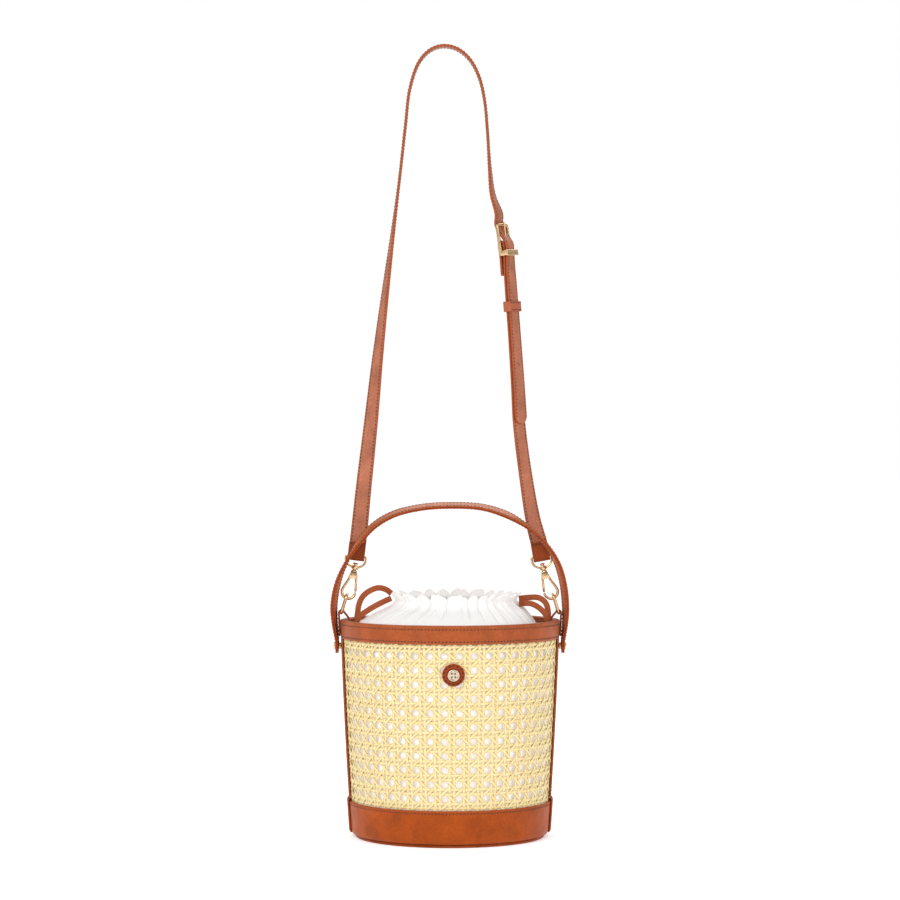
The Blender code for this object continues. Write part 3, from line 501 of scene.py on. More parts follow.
def at_lengths(samples, stations):
    lengths = path_lengths(samples)
    return np.stack([np.interp(stations, lengths, column) for column in samples.T], -1)


def strap_frames(samples):
    """Centres, width directions and outward normals from (x, y, z, azimuth, tilt) samples."""
    centres = samples[:, :3]
    along = unit(np.gradient(centres, path_lengths(samples) + np.arange(len(samples)) * 1e-9, axis=0))
    azimuth, tilt = np.radians(samples[:, 3]), np.radians(samples[:, 4])
    across = np.stack([np.cos(azimuth), np.sin(azimuth), np.tan(tilt)], -1)
    across = unit(across - along * np.sum(along * across, -1, keepdims=True))
    return centres, across, np.cross(across, along), along


def edge_section(half_width, half_depth):
    """Cross-section of a flat leather piece: (distance in from the edge, depth, edge paint).

    The faces dip a little along the stitch rows near the edges.
    """
    curve = 0.9 * half_depth
    insets = [0.0, 0.08 * curve, 0.3 * curve, 0.65 * curve, curve, 0.0011, 0.0014, 0.0017, 0.0020,
              0.0028, 0.0045]
    insets = sorted(inset for inset in insets if inset < half_width * 0.85)
    found = []
    for inset in insets:
        depth = half_depth - curve + math.sqrt(max(0.0, curve ** 2 - max(0.0, curve - inset) ** 2))
        depth -= 0.00016 * math.exp(-((inset - 0.0016) / 0.0005) ** 2)
        depth = max(depth, 0.1 * half_depth)
        found.append((inset, depth, 1.0 if inset < 0.5 * curve else max(0.0, 1 - inset / 0.0013)))
    return found


def ribbon(name, route, width, thickness, surface, body, steps=12, offset=0.0,
           round_ends=(False, False), place=None):
    """Flat strap along (x, y, z, azimuth[, tilt]) points with burnished edges."""
    samples = spline([(*point, 0.0)[:5] for point in route], steps)
    lengths = path_lengths(samples)
    total = lengths[-1]
    half, depth = width / 2, thickness / 2
    tips = []
    for at_end, is_round in zip((False, True), round_ends):
        reach = half if is_round else depth
        near = [reach * (1 - math.cos(math.radians(a))) for a in range(6, 91, 7)]
        tips += [total - d for d in near] + [total] if at_end else [0.0] + near
    limit_low = half if round_ends[0] else depth
    limit_high = total - (half if round_ends[1] else depth)
    inside = [s for s in lengths if limit_low < s < limit_high]
    stations = np.unique(np.round(np.array(sorted(tips + inside)), 6))
    centres, across, out, _ = strap_frames(at_lengths(samples, stations))
    halves, depths = np.full(len(stations), half), np.full(len(stations), depth)
    for distance, is_round in ((stations, round_ends[0]), (total - stations, round_ends[1])):
        short = np.clip(1 - distance / depth, 0, 1)
        depths = np.minimum(depths, depth * np.maximum(np.sqrt(1 - short ** 2), 0.3))
        if is_round:
            short = np.clip(1 - distance / half, 0, 1)
            halves = np.minimum(halves, half * np.maximum(np.sqrt(1 - short ** 2), 0.06))
    inset_list = edge_section(half, depth)
    ring = [(-1, inset, y, e) for inset, y, e in inset_list]
    ring += [(1, inset, y, e) for inset, y, e in reversed(inset_list)]
    ring += [(1, inset, -y, e) for inset, y, e in inset_list]
    ring += [(-1, inset, -y, e) for inset, y, e in reversed(inset_list)]
    side = np.array([item[0] for item in ring], float)
    inset = np.array([item[1] for item in ring])
    y = np.array([item[2] for item in ring])
    edge = np.array([item[3] for item in ring])
    shrink = halves[:, None] / half
    x = side[None] * np.maximum(halves[:, None] - inset[None] * shrink, 0.0)
    y = y[None] * depths[:, None] / depth + offset
    points = centres[:, None] + across[:, None] * x[..., None] + out[:, None] * y[..., None]
    tip_edge = np.clip(1 - (np.minimum(stations, total - stations)) / 0.0009, 0, 1)
    edge = np.maximum(edge[None], tip_edge[:, None])
    uv = np.stack(np.broadcast_arrays(stations[:, None], x), -1)
    return skin(name, moved(points, place), surface, body, uv=uv.reshape(-1, 2), values={"edge": edge})


def wire(name, points, radius, surface, body, closed=False, sides=14, normal=None, place=None):
    """Round bar along a path; radius may be one number or one for each point."""
    points = np.array(points, float)
    radius = np.broadcast_to(np.asarray(radius, float), (len(points),))
    if closed:
        along = unit(np.roll(points, -1, axis=0) - np.roll(points, 1, axis=0))
    else:
        along = unit(np.gradient(points, axis=0))
    normal = np.array(normal if normal is not None else (0.0, 1.0, 0.0), float)
    side = unit(np.cross(along, normal))
    up = np.cross(side, along)
    turns = np.radians(np.arange(sides) * 360.0 / sides)
    ring = (side[:, None] * np.cos(turns)[None, :, None] + up[:, None] * np.sin(turns)[None, :, None])
    rings = points[:, None] + ring * radius[:, None, None]
    return skin(name, moved(rings, place), surface, body, closed=closed)


def block(name, low, high, radius, surface, place):
    """Box with rounded edges in a placement."""
    mesh = bmesh.new()
    bmesh.ops.create_cube(mesh, size=1.0)
    low, high = Vector(low), Vector(high)
    for vertex in mesh.verts:
        vertex.co = Vector([(a + b) / 2 + c * (b - a) for a, b, c in zip(low, high, vertex.co)])
    bmesh.ops.bevel(mesh, geom=mesh.edges[:], offset=radius, segments=4, affect="EDGES", profile=0.5)
    mesh.transform(place)
    data = bpy.data.meshes.new(name)
    mesh.to_mesh(data)
    mesh.free()
    return finish_object(name, data, surface, None)


def merge(name, pieces, surface, body):
    """One object out of several; the separate ones are removed."""
    mesh = bmesh.new()
    for piece in pieces:
        mesh.from_mesh(piece.data)
    for piece in pieces:
        bpy.data.objects.remove(piece)
    data = bpy.data.meshes.new(name)
    mesh.to_mesh(data)
    mesh.free()
    return finish_object(name, data, surface, body)


def stitch_shape(length, radius, rings=7, sides=8):
    """One thread dash as rings of (along, across, up) that dive into the leather at both ends."""
    found = []
    for i in range(rings):
        t = -1 + 2 * i / (rings - 1)
        r = radius * math.sqrt(max(1 - t ** 4, 0.06))
        lift = 0.35 * radius - 1.15 * radius * t * t
        found.append([(t * length / 2, r * math.cos(2 * math.pi * k / sides),
                       lift + 0.8 * r * math.sin(2 * math.pi * k / sides)) for k in range(sides)])
    return np.array(found)


def stitches(name, seats, along, up, body, length=0.0023, radius=0.00050, slant=14.0, place=None):
    """A row of thread dashes at the seats, each leaning a little across the row."""
    seats, along, up = (np.asarray(item, float) for item in (seats, along, up))
    up = unit(np.broadcast_to(up, seats.shape))
    along = unit(along - up * np.sum(along * up, -1, keepdims=True))
    across = np.cross(up, along)
    lean = math.radians(slant)
    along, across = (along * math.cos(lean) + across * math.sin(lean),
                     across * math.cos(lean) - along * math.sin(lean))
    shape = stitch_shape(length, radius)
    rings, sides = shape.shape[:2]
    flat = shape.reshape(-1, 3)
    jitter = np.array([chance.uniform(0.9, 1.1) for _ in seats])[:, None, None]
    points = (seats[:, None] + along[:, None] * flat[None, :, :1] * jitter
              + across[:, None] * flat[None, :, 1:2] + up[:, None] * flat[None, :, 2:])
    points = moved(points, place)
    quads = grid_quads(rings, sides, False, True)
    caps = np.concatenate([fan(list(range(sides))), fan(list(range((rings - 1) * sides, rings * sides)))])
    shift = (np.arange(len(seats)) * len(flat))[:, None, None]
    return finish_mesh(name, points.reshape(-1, 3), (quads[None] + shift).reshape(-1, 4),
                       (caps[None] + shift).reshape(-1, 3), DARK_THREAD, body)


def spread(start, end, pitch):
    """Evenly spaced numbers, as close to the pitch as fits."""
    count = max(2, round((end - start) / pitch) + 1)
    return np.linspace(start, end, count)


def strap_stitches(name, route, width, thickness, body, start, end, faces=(1, -1), inset=0.0016,
                   place=None, bars=()):
    """Stitch rows along both edges of a strap; none are sewn close to the listed metal bars."""
    samples = spline([(*point, 0.0)[:5] for point in route], 24)
    total = path_lengths(samples)[-1]
    stations = spread(start, (end if end > 0 else total + end), STITCH_PITCH)
    centres, across, out, along = strap_frames(at_lengths(samples, stations))
    rows = []
    for face in faces:
        for side in (-1, 1):
            seats = (centres + across * side * (width / 2 - inset)
                     + out * (face * (thickness / 2 - THREAD_SINK)))
            rows.append((seats, along, out * face))
    seats, along, up = (np.concatenate(parts) for parts in zip(*rows))
    for bar in bars:
        clear = np.linalg.norm((seats - np.array(bar))[:, [0, 2]] * (0.3, 1.0), axis=1) > BAR_CLEARANCE
        seats, along, up = seats[clear], along[clear], up[clear]
    return stitches(name, seats, along, up, body, place=place)


def ring_stitches(name, height, offset, body, inset, keep):
    """Stitch row round the bag at one height; keep tells which angles have thread."""
    radius = wall(height) + offset - float(corner(height)) - inset
    count = round(2 * math.pi * radius / STITCH_PITCH)
    angles = np.array([a for a in (360.0 * i / count for i in range(count)) if keep(a)])
    seats = polar(angles, radius, height)
    up = polar(angles, 1.0, 0.0)
    along = polar(angles + 90.0, 1.0, 0.0)
    return stitches(name, seats, along, up, body)


# ---------------------------------------------------------------- camera, light and floor
def camera():
    data = bpy.data.cameras.new("camera")
    data.lens = 116.0
    data.sensor_width = 36.0
    item = bpy.data.objects.new("camera", data)
    item.location = (0.0, -2.535, 0.337)
    item.rotation_euler = (math.radians(90.0), 0.0, 0.0)
    bpy.context.scene.collection.objects.link(item)
    bpy.context.scene.camera = item


def area_light(name, location, target, size, power):
    data = bpy.data.lights.new(name, "AREA")
    data.shape = "RECTANGLE"
    data.size, data.size_y = size
    data.energy = power
    item = bpy.data.objects.new(name, data)
    item.location = location
    item.rotation_euler = (Vector(target) - Vector(location)).to_track_quat("-Z", "Y").to_euler()
    bpy.context.scene.collection.objects.link(item)


def studio():
    world = bpy.data.worlds.new("studio")
    world.use_nodes = True
    tree = world.node_tree
    direction = add(tree, "SeparateXYZ", {"Vector": add(tree, "TexCoord").outputs["Generated"]})
    sky = ramp(tree, direction.outputs["Z"], (0.0, grey(0.36)), (0.12, grey(0.42)), (0.45, grey(0.74)),
               (1.0, grey(0.80)))
    seen = blend_colours(tree, add(tree, "LightPath").outputs["Is Camera Ray"], sky, grey(1.0))
    tree.links.new(seen, tree.nodes["Background"].inputs["Color"])
    bpy.context.scene.world = world
    area_light("key", (-1.2, -2.0, 1.6), (0.0, 0.0, 0.22), (1.3, 1.3), 28.0)
    area_light("fill", (1.7, -1.6, 0.8), (0.0, 0.0, 0.22), (0.9, 1.3), 11.0)
    area_light("back", (0.3, 1.5, 1.5), (0.0, 0.0, 0.3), (1.4, 0.8), 11.0)
    bpy.context.scene.view_settings.view_transform = "Standard"
    floor = bpy.data.meshes.new("floor")
    reach = 30.0
    floor.from_pydata([(-reach, -reach, 0), (reach, -reach, 0), (reach, reach, 0),
                       (-reach, reach, 0)], [], [(0, 1, 2, 3)])
    surface, tree, out = shader("floor_paper", 0.9)
    specks = noise(tree, position(tree), 30.0)
    tree.links.new(ramp(tree, specks, (0.3, grey(0.90)), (0.7, grey(0.93))), out.inputs["Base Color"])
    out.inputs["Emission Color"].default_value = (1.0, 1.0, 1.0, 1.0)
    out.inputs["Emission Strength"].default_value = 0.40
    floor.materials.append(surface)
    item = bpy.data.objects.new("floor", floor)
    bpy.context.scene.collection.objects.link(item)


# ---------------------------------------------------------------- drawcords
DRAWCORDS = {
    "left": [(-0.0512, 0.0015, 0.2115), (-0.0560, 0.0010, 0.2150), (-0.0625, 0.0000, 0.2165),
             (-0.0700, -0.0010, 0.2140), (-0.0762, -0.0025, 0.2090), (-0.0795, -0.0040, 0.2020),
             (-0.0806, -0.0060, 0.1945), (-0.0815, -0.0085, 0.1868), (-0.0820, -0.0125, 0.1842),
             (-0.0812, -0.0155, 0.1880), (-0.0775, -0.0155, 0.1932), (-0.0700, -0.0135, 0.1985),
             (-0.0610, -0.0115, 0.2035), (-0.0512, -0.0095, 0.2080)],
    "right": [(0.0602, -0.0005, 0.2072), (0.0690, -0.0015, 0.2082), (0.0775, -0.0035, 0.2080),
              (0.0835, -0.0055, 0.2035), (0.0856, -0.0075, 0.1950), (0.0848, -0.0095, 0.1868),
              (0.0838, -0.0135, 0.1842), (0.0840, -0.0172, 0.1868), (0.0835, -0.0185, 0.1930),
              (0.0780, -0.0170, 0.1995), (0.0700, -0.0135, 0.2035), (0.0602, -0.0090, 0.2030)],
}
LACE_WIDTH = 0.0050
LACE = 0.0013


def drawcords():
    """Flat leather laces that leave the channel, loop over and tuck in behind the rim."""
    for side, route in DRAWCORDS.items():
        samples = spline(route, 12)
        centres = samples[:, :3]
        along = unit(np.gradient(centres, axis=0))
        out = np.array((0.0, -1.0, 0.0)) + np.zeros_like(centres)
        out = unit(out - along * np.sum(out * along, -1, keepdims=True))
        across = np.cross(along, out)
        section = rounded([(-LACE_WIDTH / 2, -LACE / 2), (LACE_WIDTH / 2, -LACE / 2),
                           (LACE_WIDTH / 2, LACE / 2), (-LACE_WIDTH / 2, LACE / 2)], 0.0005, 3)
        points = (centres[:, None] + across[:, None] * section[None, :, :1]
                  + out[:, None] * section[None, :, 1:])
        edge = np.clip((np.abs(section[:, 0]) - LACE_WIDTH / 2 + 0.0006) / 0.0004, 0, 1)
        lace = skin(f"drawcord_{side}_lace", points, HIDE["lace"], "bucket",
                    values={"edge": np.broadcast_to(edge, points.shape[:2])})
        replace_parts(lace, f"drawcord_{side}")


# ---------------------------------------------------------------- cane
COLUMNS = 45                 # openings round the body
ROW_PITCH = 0.0121
ROW_START = 0.163            # height of the top full row of openings
PAIR = 0.15                  # a pair's strands stand this far each side of its middle, in cells
CANE_LOW, CANE_HIGH = 0.0270, 0.1765
CANE_TURN = 1.0              # degrees from the front to the nearest upright pair
PAIR_WIDTH, DIAGONAL_WIDTH = 0.0026, 0.0024
SWELL, DIAGONAL_SWELL = 0.00028, 0.00055     # how far a strand moves in and out as it weaves


def cane_place(u, v, out):
    """Point in cell coordinates: openings are centred on whole numbers of u and v."""
    height = ROW_START + ROW_PITCH * v
    return polar((u + 0.5) * 360.0 / COLUMNS + CANE_TURN, wall(height) - 0.0009 + out, height)


def near_pair(value):
    """Signed cell distance to the middle of the nearest pair of strands."""
    return (value - 0.5) - np.round(value - 0.5)


def crossing(value):
    """Height pattern over one pair: up over one strand and down over the other."""
    distance = near_pair(value)
    size = np.abs(distance)
    inner = np.sin(np.pi * distance / (2 * PAIR))
    outer = np.sign(distance) * np.cos(np.clip((size - PAIR) / PAIR, 0, 1) * np.pi / 2) ** 2
    return np.where(size <= PAIR, inner, outer)


def cane_strand(u, v, out, width, tone):
    """Flattened strand along cell coordinates, as rings, distances along and across, and tones."""
    centres = cane_place(u, v, out)
    along = unit(np.gradient(centres, axis=0))
    normal = polar((u + 0.5) * 360.0 / COLUMNS + CANE_TURN, 1.0, -0.05)
    normal = unit(normal - along * np.sum(normal * along, -1, keepdims=True))
    across = np.cross(along, normal)
    half, depth = width / 2, 0.00027
    section = np.array([(-half, 0.0), (-0.62 * half, depth), (0.62 * half, depth), (half, 0.0),
                        (0.62 * half, -depth), (-0.62 * half, -depth)])
    points = (centres[:, None] + across[:, None] * section[None, :, :1]
              + normal[:, None] * section[None, :, 1:])
    length = path_lengths(centres)
    uv = np.stack(np.broadcast_arrays(length[:, None] + tone * 7.0, section[None, :, 0]
                                      + tone * 3.0), -1)
    edge = np.array([1.0, 0.0, 0.0, 1.0, 0.6, 0.6])
    return points, uv, np.broadcast_to(edge, points.shape[:2])


def cane_panel(name, strands, closed, replaced=()):
    """Join strands of equal kind into one object."""
    all_points, all_quads, all_caps, all_uv, edges, tones = [], [], [], [], [], []
    base = 0
    for points, uv, edge, tone in strands:
        rings, count = points.shape[:2]
        all_points.append(points.reshape(-1, 3))
        all_uv.append(uv.reshape(-1, 2))
        edges.append(edge.ravel())
        tones.append(np.full(rings * count, tone))
        all_quads.append(grid_quads(rings, count, closed, True) + base)
        if not closed:
            all_caps.append(fan(list(range(base, base + count))))
            all_caps.append(fan(list(range(base + (rings - 1) * count, base + rings * count))))
        base += rings * count
    caps = np.concatenate(all_caps) if all_caps else NO_FACES
    item = finish_mesh(name, np.concatenate(all_points), np.concatenate(all_quads), caps, CANE,
                       "bucket", uv=np.concatenate(all_uv), uv_period=0.3 if closed else None,
                       values={"edge": np.concatenate(edges), "tone": np.concatenate(tones)},
                       crease=70.0)
    if replaced:
        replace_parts(item, *replaced)
    return item


def cane():
    """Six-way webbing: pairs of upright and level strands, and a diagonal pair through them."""
    v_low = (CANE_LOW - ROW_START) / ROW_PITCH
    v_high = (CANE_HIGH - ROW_START) / ROW_PITCH
    rise = np.linspace(v_low, v_high, round((v_high - v_low) * 12))
    turn = np.arange(COLUMNS * 12) / 12.0

    def tone():
        return chance.uniform(0.0, 0.45)

    def wander():
        return chance.uniform(-0.012, 0.012)

    upright = []
    for i in range(COLUMNS):
        for sign in (1.0, -1.0):
            u = np.full_like(rise, i + 0.5 - sign * PAIR + wander())
            shade = tone()
            upright.append((*cane_strand(u, rise, sign * SWELL * crossing(rise), PAIR_WIDTH, shade),
                            shade))
    cane_panel("cane_upright", upright, False, ("cane_front", "cane_back"))
    level = []
    for j in range(math.floor(v_low), math.ceil(v_high)):
        for sign in (1.0, -1.0):
            row = j + 0.5 - sign * PAIR
            if not v_low + 0.1 < row < v_high - 0.1:
                continue
            v = np.full_like(turn, row + wander())
            shade = tone()
            level.append((*cane_strand(turn, v, -sign * SWELL * crossing(turn), PAIR_WIDTH, shade),
                          shade))
    cane_panel("cane_level", level, True)
    v = np.linspace(v_low, v_high, round((v_high - v_low) * 16))
    for name, slope in (("cane_rising", 1.0), ("cane_falling", -1.0)):
        strands = []
        for i in range(COLUMNS):
            u = (v - 0.5 - i) * slope
            weave = np.clip(1.7 * np.cos(2 * np.pi * u), -1, 1) * slope
            shade = tone()
            strands.append((*cane_strand(u, v, DIAGONAL_SWELL * weave, DIAGONAL_WIDTH, shade), shade))
        cane_panel(name, strands, False)


# ---------------------------------------------------------------- leather of the body
def base_parts():
    inner, outer = GAP, GAP + LEATHER
    heights = np.concatenate([np.linspace(0.0034, 0.010, 12), np.linspace(0.0115, BASE_BAND_HIGH, 12)])
    outside = [(wall(z) + outer - float(corner(z)), z) for z in heights]
    inside = [(wall(z) + inner - float(corner(z)), z) for z in reversed(heights)]
    top = BASE_BAND_HIGH
    outside = outside[:-1] + [(wall(top) + outer, top - 0.0006),
                              (wall(top) + outer - 0.0003, top - 0.0001),
                              (wall(top) + outer - 0.0007, top)]
    outline = np.array(outside + inside)
    edge = np.clip((outline[:, 1] - (top - 0.0013)) / 0.0009, 0, 1)
    segments = 240
    band = lathe("base_band_skin", outline, HIDE["band"], "bucket", segments=segments,
                 values={"edge": np.broadcast_to(edge, (segments, len(outline)))})
    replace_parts(band, "base_band")
    edge_radius = wall(0.0) + outer - BASE_CORNER * 0.42
    piping = 0.0015
    ring = [(edge_radius - piping + piping * math.cos(math.radians(a)),
             0.0001 + piping + piping * math.sin(math.radians(a))) for a in range(0, 360, 24)]
    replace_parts(lathe("base_piping_skin", ring, HIDE["strip"], "bucket"), "base_piping")

    def clear(angle):
        """Away from the side strips, which cover the row."""
        return abs((angle % 180.0) - 90.0) > STRIP_HALF_ANGLE + 1.0

    ring_stitches("base_band_stitches", BASE_BAND_HIGH - 0.0024, outer, "bucket", THREAD_SINK, clear)


def side_strips():
    """Leather strips over the side seams, lapped over the base band and stitched down both edges."""
    lap = BASE_BAND_HIGH + 0.0005
    heights = np.concatenate([np.linspace(0.0046, 0.012, 10), np.linspace(0.015, lap - 0.001, 8),
                              np.linspace(lap, lap + 0.004, 7), np.linspace(0.042, RIM_LOW - GAP, 26)])
    step = np.clip((heights - lap) / 0.0035, 0, 1)
    lift = (GAP * 2 + LEATHER) * (1 - step * step * (3 - 2 * step)) + GAP * step
    for side, middle in (("left", -90.0), ("right", 90.0)):
        radius = wall(heights) - corner(heights) + lift
        arc = math.radians(STRIP_HALF_ANGLE) * STRIP_RADIUS
        section = edge_section(arc, LEATHER / 2)
        section += [(inset, LEATHER / 2, 0.0) for inset in (0.007, 0.010, 0.0125)]
        ring = [(-1, *item) for item in section] + [(1, *item) for item in reversed(section)]
        ring += [(1, inset, -depth, e) for inset, depth, e in section]
        ring += [(-1, inset, -depth, e) for inset, depth, e in reversed(section)]
        away = np.array([s * (arc - inset) for s, inset, _, _ in ring]) / STRIP_RADIUS
        depth = np.array([item[2] for item in ring]) + LEATHER / 2
        edge = np.array([item[3] for item in ring])
        points = polar(middle + np.degrees(away)[None], radius[:, None] + depth[None],
                       heights[:, None])
        strip = skin(f"side_strip_{side}_skin", points, HIDE["strip"], "bucket",
                     values={"edge": np.broadcast_to(edge, points.shape[:2])})
        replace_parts(strip, f"side_strip_{side}")
        rows = []
        for sign in (-1, 1):
            z = spread(0.0075, RIM_LOW - 0.0022, STITCH_PITCH)
            outward = np.interp(z, heights, radius) + LEATHER - THREAD_SINK
            angle = middle + sign * (STRIP_HALF_ANGLE - math.degrees(0.0016 / STRIP_RADIUS))
            seats = polar(np.full_like(z, angle), outward, z)
            along = np.gradient(seats, axis=0)
            rows.append((seats, along, polar(np.full_like(z, angle), 1.0, 0.0)))
        seats, along, up = (np.concatenate(parts) for parts in zip(*rows))
        stitches(f"side_strip_{side}_stitches", seats, along, up, "bucket")


def rim_parts():
    """Rim band folded over the top edge, its facing inside and two rows of stitches."""
    top, inner = BODY_HEIGHT, -0.0048
    under = top - LEATHER - 0.0001
    edge_radius = wall(top)
    outer = GAP + LEATHER
    mid = (RIM_LOW + top) / 2
    outline = [(wall(RIM_LOW) + outer, RIM_LOW), (wall(mid) + outer, mid),
               (edge_radius + outer, top - 0.0002), (edge_radius + outer - 0.0012, top),
               (edge_radius + inner + 0.0012, top), (edge_radius + inner, top - 0.0004),
               (edge_radius + inner, under), (edge_radius + GAP, under), (wall(RIM_LOW) + GAP, RIM_LOW)]
    shape = rounded(outline, [0.0006, 0.001, 0.0022, 0.001, 0.001, 0.001, 0.0002, 0.0004, 0.0003], 5)
    swell = (shape[:, 0] > wall(shape[:, 1]) + outer - 0.0003)
    rows = np.array([RIM_LOW + 0.0022, top - 0.0034])
    for row in rows:
        shape[:, 0] -= 0.00012 * swell * np.exp(-((shape[:, 1] - row) / 0.0006) ** 2)
    segments = 240
    edge = np.clip(1 - (shape[:, 1] - RIM_LOW) / 0.0009, 0, 1) * (shape[:, 0] > wall(RIM_LOW) + GAP)
    # The rim's lighter, pinker leather colour is painted sheen.
    band = lathe("rim_band_skin", shape, HIDE["rim"], "bucket", segments=segments,
                 values={"edge": np.broadcast_to(edge, (segments, len(shape)))})
    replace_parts(band, "rim_band")
    facing_low, facing_depth = 0.1735, 0.0036
    heights = np.linspace(facing_low, under - GAP, 8)
    facing = [(wall(z) - facing_depth, z) for z in heights]
    facing += [(wall(z) + inner, z) for z in heights[::-1]]
    facing_edge = np.clip(1 - (np.array(facing)[:, 1] - facing_low) / 0.001, 0, 1)
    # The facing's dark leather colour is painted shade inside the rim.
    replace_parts(lathe("rim_facing_skin", facing, HIDE["facing"], "bucket", segments=segments,
                      values={"edge": np.broadcast_to(facing_edge, (segments, len(facing)))}),
                "rim_facing")

    tab_radius, tab_start = 0.095, 0.0945

    def clear(angle):
        """Away from the ring tabs, which cover the rows."""
        return abs(math.sin(math.radians(angle)) * tab_radius) < tab_start

    for number, row in enumerate(rows):
        ring_stitches(f"rim_stitches_{number}", float(row), outer, "bucket", 0.00012, clear)


# ---------------------------------------------------------------- medallion
def axis_place(origin, x_axis, y_axis, z_axis):
    place = Matrix((x_axis, y_axis, z_axis)).transposed().to_4x4()
    place.translation = Vector(origin)
    return place


def medallion():
    """Stitched disc with a raised ring and a domed stud, which has a bead and four petals on it; the
    petals' dark plate is painted shade.
    """
    tilt = math.atan(0.050)
    out = Vector((0.0, -math.cos(tilt), -math.sin(tilt)))
    up = Vector((0.0, -math.sin(tilt), math.cos(tilt)))
    place = (Matrix.Rotation(math.radians(MEDALLION_TURN), 4, "Z")
             @ axis_place((0.0, -wall(MEDALLION_HEIGHT), MEDALLION_HEIGHT), up.cross(out), up, out))
    low = GAP + 0.0002
    outline = [(0.0019, low), (0.0096, low), (0.0096, low + 0.0013), (0.0090, low + 0.0016),
               (0.0084, low + 0.0011), (0.0078, low + 0.0011), (0.0072, low + 0.0018),
               (0.0066, low + 0.0024), (0.0058, low + 0.0023), (0.0053, low + 0.0014),
               (0.0019, low + 0.0014)]
    shape = rounded(outline, 0.0004, 4)
    edge = np.clip((shape[:, 0] - 0.0088) / 0.0006, 0, 1)
    disc = lathe("medallion_disc_skin", shape, HIDE["disc"], "bucket", place, 96,
                 values={"edge": np.broadcast_to(edge * 0.6, (96, len(shape)))})
    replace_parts(disc, "medallion_disc")
    turns = np.radians(np.arange(14) * 360.0 / 14)
    seats = np.stack([0.0081 * np.sin(turns), -0.0081 * np.cos(turns),
                      np.full_like(turns, low + 0.0013)], -1)
    along = np.stack([np.cos(turns), np.sin(turns), 0 * turns], -1)
    stitches("medallion_stitches", seats, along, np.array((0.0, 0.0, 1.0)), "bucket", length=0.0022,
             radius=0.00060, slant=8.0, place=place)
    top = low + 0.0025 + GAP
    shank = [(0.00002, -0.0034), (0.0015, -0.0034), (0.0015, top), (0.0051, top - 0.0004)]
    dome = [(0.0052, top + 0.0001), (0.0051, top + 0.0009), (0.0046, top + 0.0013),
            (0.0041, top + 0.0013), (0.0037, top + 0.0007), (0.0030, top + 0.0006),
            (0.0014, top + 0.0007), (0.00002, top + 0.0008)]
    pieces = [lathe("dome", rounded(shank + dome, 0.0002, 2, False), PALE_PLATE, None, place, 64,
                    ring=False)]
    petal = rounded([(0.00002, -0.0004), (0.0009, -0.0004), (0.0008, 0.0002), (0.00002, 0.0004)],
                    0.0003, 3, False)
    # The petals' dark plate is painted shade.
    for number, turn in enumerate((45, 135, 225, 315)):
        seat = Vector((0.0021 * math.cos(math.radians(turn)), 0.0021 * math.sin(math.radians(turn)),
                       top + 0.0008))
        lathe(f"medallion_petal_{number}", petal, PETAL_PAINTED_SHADE_PLATE, "bucket", place @ Matrix.Translation(seat),
              20, ring=False)
    bead = rounded([(0.00002, 0.0), (0.0010, 0.0), (0.0008, 0.0008), (0.00002, 0.0011)], 0.0003, 3, False)
    pieces.append(lathe("bead", bead, PALE_PLATE, None, place @ Matrix.Translation((0, 0, top + 0.0005)),
                        24, ring=False))
    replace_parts(merge("medallion_stud_skin", pieces, PALE_PLATE, "bucket"), "medallion_stud")


# ---------------------------------------------------------------- handle
ARCH = [(-0.0987, 0.0, 0.1595, -90), (-0.0987, 0.0, 0.1705, -90), (-0.0994, 0.0, 0.177, -92),
        (-0.1006, 0.0, 0.187, -96), (-0.1011, 0.0, 0.203, -101), (-0.0974, 0.0, 0.223, -101),
        (-0.0891, 0.0, 0.2425, -96), (-0.0775, 0.0, 0.2605, -86),
        (-0.0650, 0.0, 0.2738, -84), (-0.0480, 0.0, 0.2835, -85), (-0.0240, 0.0, 0.2893, -88),
        (0.0020, 0.0, 0.2909, -90), (0.0280, 0.0, 0.2893, -94), (0.0496, 0.0, 0.2825, -97),
        (0.0662, 0.0, 0.2728, -84), (0.0791, 0.0, 0.2610, -77), (0.0880, 0.0, 0.2495, -76),
        (0.0943, 0.0, 0.2370, -76), (0.0990, 0.0, 0.2190, -77), (0.1008, 0.0, 0.2000, -79),
        (0.1005, 0.0, 0.1870, -84), (0.0995, 0.0, 0.177, -88), (0.0987, 0.0, 0.1705, -90),
        (0.0987, 0.0, 0.1595, -90)]
HANDLE_WIDTH, HANDLE_FACE, HANDLE_LINING = 0.018, 0.0015, 0.0009


def handle():
    """Arched strap in two layers, leaning forward about its studs."""
    lean = (Matrix.Translation((0.0, 0.0, HANDLE_PIVOT))
            @ Matrix.Rotation(math.radians(HANDLE_LEAN), 4, "X"))
    route = [(x, y, z - HANDLE_PIVOT, azimuth) for x, y, z, azimuth in ARCH]
    outer, inner = (HANDLE_LINING + GAP) / 2, -(HANDLE_FACE + GAP) / 2
    face = ribbon("handle_face", route, HANDLE_WIDTH, HANDLE_FACE, HIDE["handle"], "handle", 12, outer,
                  (True, True), place=lean)
    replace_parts(face, "handle_strap")
    lining = ribbon("handle_lining_skin", route, HANDLE_WIDTH - 0.0002, HANDLE_LINING, HIDE["lining"],
                    "handle", 12, inner, (True, True), place=lean)
    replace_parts(lining, "handle_lining")
    full = HANDLE_FACE + HANDLE_LINING + GAP
    strap_stitches("handle_stitches", route, HANDLE_WIDTH, full, "handle", 0.0085, -0.0085, place=lean)


def side_place(side):
    out = Vector((SIGN[side], 0.0, 0.0))
    up = Vector((0.0, 0.0, 1.0))
    return axis_place((0.0, 0.0, HANDLE_PIVOT), up.cross(out), up, out)


